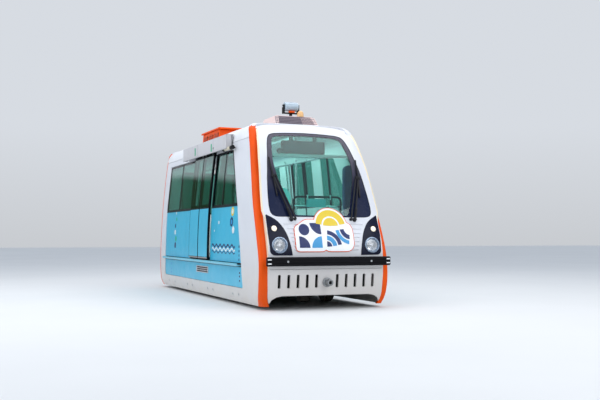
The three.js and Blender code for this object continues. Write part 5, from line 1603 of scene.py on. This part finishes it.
# %% Cooling units
FAN_Z = 3.03
FAN_RING = [(0.165, 0.0), (0.185, 0.0), (0.185, 0.012), (0.175, 0.02), (0.165, 0.016)]
FAN_SHADE_DISC = [(0, 0.001), (0.165, 0.001), (0.165, 0.004), (0, 0.004)]
UNIT_WHITE = finish("unit white", (0.78, 0.79, 0.8), rough=0.45, tone=0.05, streaks=0.15, grain=0.05, dirt=0.2,
                    dirt_top=3.0)
for name, x0, x1 in (("cooling_unit_front", -0.16, 0.86), ("cooling_unit_rear", -0.82, -0.24)):
    parts = [hull_box("case", (x0 + 0.02, x1 - 0.02, 0.45), (x0 + 0.05, x1 - 0.05, 0.42), 2.9, 3.03, UNIT_WHITE,
                      0.014),
             hull_box("flange", (x0, x1, 0.47), (x0 + 0.004, x1 - 0.004, 0.466), 2.885, 2.9295, UNIT_WHITE, 0.004, 2)]
    fans = (x0 + (x1 - x0) * 0.28, x0 + (x1 - x0) * 0.72) if x1 - x0 > 0.8 else ((x0 + x1) / 2,)
    for x in fans:
        parts.append(turn_piece("fan_ring", FAN_RING, "z", (x, 0, FAN_Z), UNIT_WHITE))
        parts.append(turn_piece("fan_shade_disc", FAN_SHADE_DISC, "z", (x, 0, FAN_Z), DARK, segments=32))
        for r in (0.05, 0.09, 0.13):
            wire = [(r, 0.008), (r + 0.006, 0.008), (r + 0.006, 0.012), (r, 0.012)]
            parts.append(turn_piece("fan_wire", wire, "z", (x, 0, FAN_Z), STEEL, segments=28))
        for m in range(4):
            t = m * math.pi / 4
            a = (x + 0.168 * math.cos(t), 0.168 * math.sin(t), 3.043)
            b = (x - 0.168 * math.cos(t), -0.168 * math.sin(t), 3.043)
            parts.append(tube("fan_spoke", [a, ((a[0] + b[0]) / 2, 0.0, 3.0432), b], 0.003, STEEL, n=6))
    # Each side slot is a dark patch: painted shade where an open slot would be.
    for side in (1, -1):
        for m in range(12):
            x = x0 + 0.1 + m * (x1 - x0 - 0.2) / 11
            low, high = (x - 0.008, side * 0.43, 2.955), (x + 0.008, side * 0.4435, 3.005)
            parts.append(block("vent", low, high, DARK, edge=0.001))
    unit = join(name, parts)
    if name.endswith("front"):
        dress("roof_aircon_front", by=unit)
print("roof gear:", MADE)

# %% [markdown]
# ## Inside the cabin
#
# Through the windscreen a viewer sees moulded seats facing each other along the walls, poles, a screen under
# the ceiling, the desk, and a rail with a light panel across the front. The seats are hard shells, so each
# row is one mesh whose seats dip in the middle and lift at their sides. They have no padding.

# %% Benches
def seat_row(name, side, x0, x1, count, material):
    """A row of moulded seats from x0 to x1 along one wall, on a plinth between two end plates."""
    outline = smooth_line([(0.588, 1.075), (0.606, 1.108), (0.68, 1.112), (0.8, 1.1), (0.878, 1.115), (0.912, 1.19),
                           (0.938, 1.34), (0.955, 1.5)], 0.02)
    run = np.r_[0, np.cumsum(np.linalg.norm(np.diff(outline, axis=0), axis=1))]
    out = np.gradient(outline, axis=0)[:, ::-1] * (1, -1)
    out /= np.linalg.norm(out, axis=1)[:, None]
    share = run / run[-1]
    steps = 14
    pieces = []
    for k in range(count):
        a = x0 + (x1 - x0) * k / count + 0.012
        b = x0 + (x1 - x0) * (k + 1) / count - 0.012
        verts, faces = [], []
        for layer in (0, 1):
            for i, (y, z) in enumerate(outline):
                narrow = 0.05 * max(0.0, (share[i] - 0.82) / 0.18) ** 2 + 0.02 * max(0.0,
                    (0.12 - share[i]) / 0.12) ** 2
                for j in range(steps + 1):
                    u = -1 + 2 * j / steps
                    x = (a + b) / 2 + u * ((b - a) / 2 - narrow)
                    dip = 0.016 * (1 - u * u) * math.sin(math.pi * min(1, max(0, share[i]))) - 0.012 * abs(u) ** 6
                    d = dip - layer * 0.008
                    verts.append((x, side * (y + out[i][0] * -d), z + out[i][1] * -d))
        n = (steps + 1) * len(outline)
        for i in range(len(outline) - 1):
            for j in range(steps):
                p = i * (steps + 1) + j
                faces.append((p, p + 1, p + steps + 2, p + steps + 1))
                faces.append((p + n, p + n + steps + 1, p + n + steps + 2, p + n + 1))
        rim = list(range(steps + 1)) + [i * (steps + 1) + steps for i in range(1, len(outline))]
        rim += [(len(outline) - 1) * (steps + 1) + j for j in range(steps - 1, -1, -1)] + [i * (steps + 1)
            for i in range(len(outline) - 2, 0, -1)]
        faces += [(p, q, q + n, p + n) for p, q in zip(rim, rim[1:] + rim[:1])]
        pieces.append(tidy_normals(keep_mesh(f"{name}_seat_{k}", verts, faces, material, edge=0, smooth=50)))
    low, high = (x0 + 0.02, side * 0.66, 0.716), (x1 - 0.02, side * 0.95, 1.075)
    pieces.append(block(f"{name}_plinth", low, high, LINING, edge=0.006))
    # Five rows of dark strips on each plinth are painted shade, where its slots would be open.
    for k in range(count * 2):
        x = x0 + (x1 - x0) * (k + 0.5) / (count * 2)
        for m in range(5):
            low, high = (x - 0.09, side * 0.655, 0.84 + m * 0.028), (x + 0.09, side * 0.663, 0.85 + m * 0.028)
            pieces.append(block(f"{name}_slot_{k}_{m}", low, high, DARK, edge=0.001))
    for x in (x0 + 0.01, x1 - 0.03):
        low, high = (x, side * 0.6, 0.76), (x + 0.02, side * 0.965, 1.35)
        pieces.append(block(f"{name}_end_{x:.2f}", low, high, LINING, edge=0.007))
    return join(name, pieces)


for label, side in SIDES:
    row = seat_row(f"seats_front_{label}", side, 0.76, 2.35, 3, SEAT_PALE if side < 0 else SEAT)
    dress(f"bench_front_{label}", by=row)
    row = seat_row(f"seats_rear_{label}", side, -2.9, -0.76, 4, SEAT)
    dress(f"bench_rear_{label}", by=row)
print("with benches:", MADE)

# %% [markdown]
# The desk is one moulding with a sloping top, with three dark plates and a row of buttons on the slope. The
# nose hides the real one, so its fittings are kept plain.

# %% Desk
parts = []
section = [(2.945, 0.72), (2.945, 1.17), (2.96, 1.19), (3.06, 1.275), (3.085, 1.288), (3.125, 1.285), (3.128, 1.27),
           (3.128, 0.72)]
end_section = [(3.036 + (x - 3.036) * 0.86, min(z, 1.27)) for x, z in section]
rows = ((-0.558, end_section), (-0.54, section), (0.54, section), (0.558, end_section))
verts = [(x, y, z) for y, points in rows for x, z in points]
parts.append(tidy_normals(keep_mesh("desk_body", verts, loft_faces(4, len(section)), LINING, edge=0.004)))
for y, w in ((-0.36, 0.11), (0.0, 0.16), (0.34, 0.1)):
    verts = []
    for back, front_x, low, high in ((2.968, 3.052, 1.2, 1.271), (2.964, 3.048, 1.206, 1.277)):
        verts += [(back, y - w, low), (back, y + w, low), (front_x, y + w, high), (front_x, y - w, high)]
    parts.append(keep_mesh(f"desk_plate_{y}", verts, BOX_FACES, DARK, edge=0.003))
button = [(0, 0.0), (0.012, 0.0), (0.012, 0.008), (0.009, 0.011), (0, 0.012)]
for k in range(9):
    centre = (2.985, -0.47 + k * 0.118, 1.224)
    colour = (ORANGE, YELLOW, CYAN)[k % 3]
    parts.append(turn_piece(f"desk_button_{k}", button, (-0.64, 0, 0.77), centre, colour, segments=16))
desk = join("front_desk", parts)
dress("front_console", by=desk)
print("pieces of the desk:", len(parts))

# %% [markdown]
# A long display hangs under the ceiling on two stems, with a small round dial beside it and a beam across
# the cabin just below. All of it shows dimly through the windscreen, so only the outlines matter.

# %% Display and beam
parts = [block("display_case", (2.075, -0.286, 2.442), (2.16, 0.464, 2.645), BLACK, edge=0.008)]
parts.append(block("display_face", (2.158, -0.266, 2.458), (2.1625, 0.444, 2.63), NAVY, edge=0.001))
for y in (-0.12, 0.3):
    parts.append(block(f"display_stem_{y}", (2.09, y - 0.03, 2.64), (2.12, y + 0.03, 2.85), BLACK, edge=0.005))
parts.append(turn_piece("round_dial", [(0, 0), (0.042, 0), (0.045, 0.01), (0.04, 0.03), (0, 0.034)], "x",
                        (2.13, -0.335, 2.475), BLACK, segments=28))
display = join("ceiling_display", parts)
dress("display_box", by=display)
block("cross_beam", (2.06, -0.9, 2.392), (2.12, 0.9, 2.438), LINING, edge=0.008)
print("display, metres wide:", 0.464 + 0.286)

# %% [markdown]
# A rounded frame of tube with a small panel in it closes the cab off at chest height. Behind it stand a
# single seat on a post and a rounded cover in the corner. These are flat patterns again, now on an upright
# plane. Flat linings close the wall beside each doorway.


# %% Barrier, guard seat and pockets
def flat(x0):
    """An upright plane facing forward, for patterns of y and z."""

    def where(y, z, depth=0.0):
        y, z = np.broadcast_arrays(np.asarray(y, float), np.asarray(z, float))
        return np.stack([np.full(y.shape, x0 - depth), y, z], -1)

    return where


frame_loop = rounded([(-0.331, 1.38), (0.472, 1.38), (0.472, 1.704), (-0.331, 1.704)], 0.08, 5)
parts = [tube("barrier_frame", [(2.76, y, z) for y, z in loop_points(frame_loop, 0.03)], 0.017, BLACK, closed=True,
              n=10)]
parts.append(skin("light_panel", flat(2.745), rounded([(-0.11, 1.545), (0.225, 1.545), (0.225, 1.675), (-0.11, 1.675)],
    0.02, 3), PANEL_TEAL, thick=0.01, step=0.08))
for y in (-0.105, 0.285):
    parts.append(block(f"hanger_{y}", (2.745, y - 0.01, 1.66), (2.785, y + 0.01, 1.735), LINING, edge=0.003))
for y in (-0.3, 0.44):
    parts.append(tube(f"barrier_leg_{y}", [(2.76, y, 1.4), (2.76, y, 1.1), (2.76, y, 0.717)], 0.014, BLACK, n=10))
join("front_barrier", parts)
top = [(0.78 + 0.08 * math.cos(t), 2.16 + 0.09 * math.sin(t)) for t in np.linspace(0, math.pi, 14)]
skin("corner_cover", flat(2.42), [(0.86, 0.72)] + top + [(0.7, 0.72)], SEAT, thick=0.09, step=0.1, edge=0.006)
back = [(-0.21, 1.2), (-0.205, 1.7), (-0.225, 1.79), (-0.28, 1.85), (-0.36, 1.87), (-0.44, 1.85), (-0.5, 1.78),
        (-0.52, 1.7), (-0.52, 1.2)]
# The seat's teal finish glows as painted light.
parts = [skin("back", flat(2.33), back, GLOWING_SEAT_TEAL, thick=0.05, step=0.07, edge=0.012),
         block("pan", (2.31, -0.53, 1.16), (2.6, -0.2, 1.21), GLOWING_SEAT_TEAL, edge=0.015),
         turn_piece("post", [(0, 0.0), (0.09, 0.0), (0.085, 0.02), (0.035, 0.03), (0.035, 0.43), (0.06, 0.45),
                             (0, 0.45)], "z", (2.44, -0.365, 0.716), STEEL, segments=24)]
join("guard_seat", parts)
for label, side in SIDES:
    where = on_side(side)
    for end, (x0, x1) in (("front", (0.66, 1.06)), ("rear", (-0.98, -0.66))):
        skin(f"door_pocket_{end}_{label}", where, rounded([(x0, 1.56), (x1, 1.56), (x1, 2.56), (x0, 2.56)], 0.02, 3),
             LINING, depth=0.078, thick=0.012, step=0.15, edge=0.002)
print("with the barrier, the single seat and the pockets:", MADE)

# %% [markdown]
# Two rows of light tubes sit in trays under the ceiling. They glow a little, so that they read as lit when
# they are seen through the glass.

# %% Ceiling lights
parts = []
z = 2.838
for y in (-0.3, 0.3):
    parts.append(block(f"light_tray_{y}", (-2.9, y - 0.07, z - 0.012), (1.15, y + 0.07, z + 0.01), LINING, edge=0.004))
    for k in range(5):
        x = -2.85 + k * 0.8
        parts.append(block(f"light_tube_{y}_{k}", (x, y - 0.045, z - 0.02), (x + 0.72, y + 0.045, z - 0.008),
                           CEILING_LIGHT, edge=0.004))
join("ceiling_lights", parts)
print("cabin:", MADE)

# %% [markdown]
# ## Coupling end
#
# The coupling end carries a flat moulded wall between the rear ribs, with a wide fixed window, two round red
# lamps and a shallow screwed panel. It can't be seen in the picture, so it follows the nose's seams.

# %% Tail wall and window
tail_pane = rounded([(-0.62, 1.541), (0.62, 1.541), (0.62, 2.479), (-0.62, 2.479)], 0.1, 6)
pattern = mirrored([(0, MASK_FOOT)] + face_pattern(on_tail, tail_edge, -1, MASK_FOOT))
wall = skin("tail_moulding", on_tail, pattern, SHELL, [tail_pane], thick=0.02, step=0.07)
skin("tail_valance", on_tail, valance_pattern(), SHELL, thick=0.03, step=0.06, edge=0.004)
dress("rear_wall", by=wall)
pane = skin("tail_window", on_tail, grow(tail_pane, -0.003), SIDE_GLASS, depth=0.006, thick=0.006, step=0.12,
            edge=0.001)
dress("rear_window", by=pane)
skin("tail_window_border", on_tail, grow(tail_pane, -0.004), FRIT, [grow(tail_pane, -0.05)], depth=0.005, thick=0.001,
     step=0.1, edge=0)
lining = mirrored([(0, 0.72), (0.88, 0.72), (0.86, 1.6), (0.8, 2.6), (0, 2.62)])
skin("tail_lining", on_tail, lining, LINING, [grow(tail_pane, -0.012)], depth=0.06, thick=0.01, step=0.14)
seal_path = [tuple(on_tail(y, z, 0.002)) for y, z in loop_points(grow(tail_pane, -0.002), 0.05)]
sweep("tail_window_seal", seal_path, (-1, 0, 0), ring(0.008, 8), BLACK, closed=True)
parts = []
panel = rounded([(-0.56, 0.76), (0.56, 0.76), (0.56, 1.4), (-0.56, 1.4)], 0.05, 5)
parts.append(skin("hatch", on_tail, panel, SHELL, depth=-0.008, thick=0.01, step=0.1, edge=0.003))
BACK = (-1, 0, 0)
screw = bolt_head(0.011, 0.003, 0.007, 0.006)
for y in (-0.5, 0.5):
    for z in (0.82, 1.08, 1.34):
        parts.append(turn_piece(f"hatch_screw_{y}_{z}", screw, BACK, tuple(on_tail(y, z, -0.008)), STEEL, segments=12))
lamp_rim = [(0.05, 0), (0.066, 0), (0.066, 0.01), (0.058, 0.016), (0.05, 0.012)]
lamp_lens = [(0, 0), (0.05, 0), (0.05, 0.008), (0.035, 0.015), (0, 0.018)]
for side in (1, -1):
    centre = tuple(on_tail(side * 0.77, 1.0, -0.001))
    parts.append(turn_piece(f"tail_lamp_rim_{side}", lamp_rim, BACK, centre, BLACK, segments=32))
    parts.append(turn_piece(f"tail_lamp_{side}", lamp_lens, BACK, centre, RED_LENS, segments=32))
join("tail_fittings", parts)
print("tail wall:", MADE)

# %% [markdown]
# The drawbar is a forged bar with a bushed eye at its end and a bolted flange at its root. The eye takes an
# upright pin, which lets two cars turn against each other on a bend.

# %% Drawbar
parts = []
bar = sweep("bar", [(x, 0, COUPLER_Z) for x in np.linspace(-3.19, -3.335, 6)], (0, 0, 1),
            [(-0.036, -0.026), (0.036, -0.026), (0.042, -0.018), (0.042, 0.018), (0.036, 0.026), (-0.036, 0.026),
             (-0.042, 0.018), (-0.042, -0.018)], CASTING)
parts.append(bar)
parts.append(turn_piece("eye", [(0.02, -0.036), (0.044, -0.036), (0.049, -0.03), (0.049, 0.03), (0.044, 0.036),
    (0.02, 0.036)], "z", (-3.38, 0, COUPLER_Z), CASTING))
parts.append(turn_piece("bush", [(0.0155, -0.038), (0.0225, -0.038), (0.0225, 0.038), (0.0155, 0.038)], "z",
                        (-3.38, 0, COUPLER_Z), STEEL, segments=32))
parts.append(turn_piece("flange", [(0, 0.0), (0.079, 0.0), (0.079, 0.016), (0.072, 0.02), (0.05, 0.02), (0.046, 0.034),
    (0, 0.034)], BACK, (-3.192, 0, COUPLER_Z), CASTING))
bolt = bolt_head(0.008, 0.007, 0.005, 0.009)
for k in range(6):
    t = k * math.pi / 3
    centre = (-3.212, 0.062 * math.cos(t), COUPLER_Z + 0.062 * math.sin(t))
    parts.append(turn_piece(f"drawbar_bolt_{k}", bolt, BACK, centre, STEEL, segments=6))
coupling = join("coupling_bar", parts)
dress("drawbar", by=coupling)
print("drawbar, pieces joined:", len(parts))

# %% [markdown]
# ## Wheels and bogies
#
# The wheels have rubber running bands on cast discs with bolted hub caps. The lightening holes are flat dark discs on
# the cast disc, painted shade where the holes would be. The small guide wheels lie flat under each bogie and keep it
# on its line by rolling on upright pins. Wheels ride on their axles and turn with them.


# %% Wheels
AXLE_X, WHEEL_Y, WHEEL_Z = 1.9, 0.6, 0.25


def running_wheel(name, x, side, body):
    """A wheel with its tyre, disc, cap and nuts, and dark discs painted as shade for its holes."""
    y = side * WHEEL_Y
    tyre = [(0.205, -0.066), (0.236, -0.068), (0.246, -0.062), (0.2495, -0.048), (0.25, -0.02), (0.247, -0.017),
            (0.247, -0.013), (0.25, -0.01), (0.25, 0.01), (0.247, 0.013), (0.247, 0.017), (0.25, 0.02),
            (0.2495, 0.048), (0.246, 0.062), (0.236, 0.068), (0.205, 0.066)]
    disc = [(0.04, -0.04), (0.1, -0.04), (0.11, -0.02), (0.175, -0.02), (0.19, -0.055), (0.206, -0.06), (0.206, 0.06),
            (0.19, 0.055), (0.175, 0.03), (0.11, 0.034), (0.098, 0.06), (0.04, 0.06)]
    cap = [(0, 0.055), (0.07, 0.055), (0.07, 0.07), (0.062, 0.082), (0.045, 0.086), (0, 0.088)]
    out = (0, side, 0)
    centre = (x, y, WHEEL_Z)
    nut = bolt_head(0.01, 0.009, 0.007, 0.012)
    # The holes are flat dark discs: painted shade where the holes would be.
    hole = bolt_head(0.02, 0.004, 0.017, 0.005)
    pieces = [turn_piece(f"{name}_tyre", tyre, out, centre, TREAD, body, 64),
              turn_piece(f"{name}_disc", disc, out, centre, CASTING, body, 64),
              turn_piece(f"{name}_cap", cap, out, centre, STEEL, body, 36)]
    for k in range(8):
        t = k * math.pi / 4
        c = (x + 0.086 * math.cos(t), y + side * 0.058, WHEEL_Z + 0.086 * math.sin(t))
        pieces.append(turn_piece(f"{name}_nut_{k}", nut, out, c, STEEL, body, 6))
        t += math.pi / 8
        c = (x + 0.143 * math.cos(t), y + side * 0.029, WHEEL_Z + 0.143 * math.sin(t))
        pieces.append(turn_piece(f"{name}_hole_{k}", hole, out, c, DARK, body, 20))
    return pieces


def guide_wheel(name, x, body):
    """A small wheel that lies flat, with its nuts above and below."""
    rim = [(0.024, -0.004), (0.05, -0.006), (0.056, 0.01), (0.08, 0.01), (0.086, 0.002), (0.1, 0.0), (0.107, 0.008),
           (0.108, 0.03), (0.1055, 0.034),
           (0.1055, 0.046), (0.108, 0.05), (0.107, 0.072), (0.1, 0.08), (0.086, 0.078), (0.08, 0.07), (0.056, 0.07),
           (0.05, 0.084), (0.024, 0.084)]
    pieces = [turn_piece(f"{name}_rim", [(r, min(max(l, 0), 0.08)) for r, l in rim], "z", (x, 0, 0.058), TREAD, body,
                         48)]
    nut = [(0, 0), (0.007, 0), (0.007, 0.005), (0, 0.006)]
    for k in range(5):
        t = k * 2 * math.pi / 5
        for z in (0.066, 0.127):
            centre = (x + 0.068 * math.cos(t), 0.068 * math.sin(t), z)
            pieces.append(turn_piece(f"{name}_nut_{k}_{z}", nut, "z", centre, STEEL, body, 6))
    return pieces


for end, x in (("front", AXLE_X), ("rear", -AXLE_X)):
    body = f"axle_{end}"
    pieces = running_wheel(f"wheel_{end}_right", x, -1, body) + running_wheel(f"wheel_{end}_left", x, 1, body)
    pieces.append(turn_piece(f"axle_{end}_bar", [(0, -0.56), (0.04, -0.56), (0.0445, -0.55), (0.0445, -0.49),
        (0.038, -0.48), (0.038, 0.48), (0.0445, 0.49), (0.0445, 0.55), (0.04, 0.56), (0, 0.56)],
                             "y", (x, 0, WHEEL_Z), STEEL, body, 36))
    wheels = join(f"wheels_{end}", pieces)
    dress(f"wheelset_{end}", by=wheels)
    for mark, gx in (("a", x + 0.45), ("b", x - 0.45)):
        wheel = join(f"guide_roller_{end}_{mark}", guide_wheel(f"guide_{end}_{mark}", gx, f"guide_{end}_{mark}"))
        dress(f"guide_wheel_{end}_{mark}", by=wheel)
print("wheels:", MADE)

# %% [markdown]
# ## Measured parts that stay as they are
#
# Where the measured part already has the right shape, it only gets a better finish. These are the floor, the
# poles, the frame under the floor and the two bogie frames.

# %% Finishes for the measured parts that stay
STAY = {"floor_deck": FLOOR, "grab_rails": RAIL, "underframe": CHASSIS, "bogie_frame_front": CHASSIS,
        "bogie_frame_rear": CHASSIS}
for node, material in STAY.items():
    part = frame["nodes"][node]
    for place in range(len(part.material_slots)):
        part.material_slots[place].link = "OBJECT"
        part.material_slots[place].material = material
print("measured parts with a new finish:", list(STAY))

# %% [markdown]
# ## The studio
#
# A pale floor and broad soft lights show form without hard shadows. The side of the car faces away from the
# main light, so a wide fill panel on that side keeps the blue panels readable. Two hidden panels light the
# cabin: they are left out of reflections and of what is seen through glass.

# %% Floor and lights
floor_finish = finish("studio floor", (0.72, 0.72, 0.71), rough=0.8, tone=0.02, tone_size=0.3, grain=0.02)
floor_mesh = bpy.data.meshes.new("studio_floor")
floor_mesh.from_pydata([(-60, -60, -0.004), (60, -60, -0.004), (60, 60, -0.004), (-60, 60, -0.004)], [],
                       [(0, 1, 2, 3)])
studio_floor = bpy.data.objects.new("studio_floor", floor_mesh)
floor_mesh.materials.append(floor_finish)
bpy.context.scene.collection.objects.link(studio_floor)
studio_floor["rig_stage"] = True


def soft_light(name, place, target, size, power, colour=(1, 1, 1), hidden=False):
    data = bpy.data.lights.new(name, "AREA")
    data.shape, data.size, data.size_y = "RECTANGLE", size[0], size[1]
    data.energy, data.color = power, colour
    lamp = bpy.data.objects.new(name, data)
    bpy.context.scene.collection.objects.link(lamp)
    lamp.location = place
    lamp.rotation_euler = (Vector(target) - Vector(place)).to_track_quat("-Z", "Y").to_euler()
    lamp.visible_camera = False
    lamp.visible_transmission = lamp.visible_glossy = not hidden


soft_light("sky_panel", (1, 0, 11), (0, 0, 1.5), (14, 10), 820)
soft_light("nose_panel", (13, 4, 7), (3, 0, 1.4), (7, 7), 430)
soft_light("side_panel", (2, -13, 6), (0, -1, 1.4), (12, 6), 560, (0.93, 0.95, 1.0))
soft_light("cabin_panel_front", (1.2, 0, 2.74), (1.2, 0, 0), (1.6, 1.1), 24, hidden=True)
soft_light("cabin_panel_rear", (-1.4, 0, 2.74), (-1.4, 0, 0), (2.6, 1.1), 44, hidden=True)
print("lights:", len(bpy.data.lights))

# %% [markdown]
# Glass takes its look from what it reflects. The world is a pale sky over a low green band whose edge wavers
# a little, so that the panes get a dark foot and a light top. The part of the world behind the car, and
# everything that is looked at directly, stays plain.

# %% World
world = bpy.data.worlds.new("pale sky")
bpy.context.scene.world = world
world.use_nodes = True
nodes, links = world.node_tree.nodes, world.node_tree.links


def sum_node(kind, a, b):
    """One step of arithmetic on node values or plain numbers."""
    node = nodes.new("ShaderNodeMath")
    node.operation = kind
    for socket, value in zip(node.inputs, (a, b)):
        if hasattr(value, "is_linked"):
            links.new(value, socket)
        else:
            socket.default_value = value
    return node.outputs[0]


def sky_ramp(value, stops):
    """Colours along a value, as (place, colour)."""
    node = nodes.new("ShaderNodeValToRGB")
    ramp = node.color_ramp
    while len(ramp.elements) < len(stops):
        ramp.elements.new(0.5)
    for element, (place, colour) in zip(ramp.elements, stops):
        element.position, element.color = place, (*colour, 1)
    links.new(value, node.inputs[0])
    return node.outputs[0]


def mix_colours(share, a, b):
    node = nodes.new("ShaderNodeMix")
    node.data_type = "RGBA"
    for place, value in ((0, share), (6, a), (7, b)):
        links.new(value, node.inputs[place])
    return node.outputs[2]


way = nodes.new("ShaderNodeTexCoord").outputs["Generated"]
apart = nodes.new("ShaderNodeSeparateXYZ")
links.new(way, apart.inputs[0])
waver = nodes.new("ShaderNodeTexNoise")
waver.inputs["Scale"].default_value = 9.0
links.new(way, waver.inputs["Vector"])
height = sum_node("ADD", apart.outputs["Z"], sum_node("MULTIPLY", waver.outputs["Fac"], 0.06))
banded = sky_ramp(height, [(0.0, (0.12, 0.13, 0.1)), (0.06, (0.06, 0.1, 0.06)), (0.146, (0.07, 0.12, 0.07)),
    (0.154, (0.95, 1.02, 1.08)), (0.3, (0.74, 0.82, 0.92)), (0.6, (0.74, 0.82, 0.95))])
plain = sky_ramp(sum_node("ADD", sum_node("MULTIPLY", apart.outputs["Z"], 0.5), 0.5),
                 [(0.42, (0.55, 0.56, 0.57)), (0.56, (0.8, 0.84, 0.9))])
away_x, away_y = -0.926, 0.378  # the camera looks this way along the ground
back = sum_node("ADD", sum_node("MULTIPLY", apart.outputs["X"], away_x),
                sum_node("MULTIPLY", apart.outputs["Y"], away_y))
share = nodes.new("ShaderNodeMapRange")
share.inputs["From Min"].default_value, share.inputs["From Max"].default_value = 0.8, 0.92
links.new(back, share.inputs["Value"])
mirrored_sky = mix_colours(share.outputs["Result"], banded, plain)
looked_at = nodes.new("ShaderNodeLightPath").outputs["Is Camera Ray"]
links.new(mix_colours(looked_at, mirrored_sky, plain), nodes["Background"].inputs["Color"])
nodes["Background"].inputs["Strength"].default_value = 0.85
view = bpy.context.scene.view_settings
view.view_transform, view.look, view.exposure = "Standard", "None", 0.0
print("nodes of the world:", len(nodes))

# %% [markdown]
# ## Last look at the sizes
#
# The dressed car should keep the measured one's size, so its overall size is printed.

low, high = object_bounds()
print("pieces and triangles:", MADE)
print("dressed car, metres:", [round(v, 3) for v in high - low])
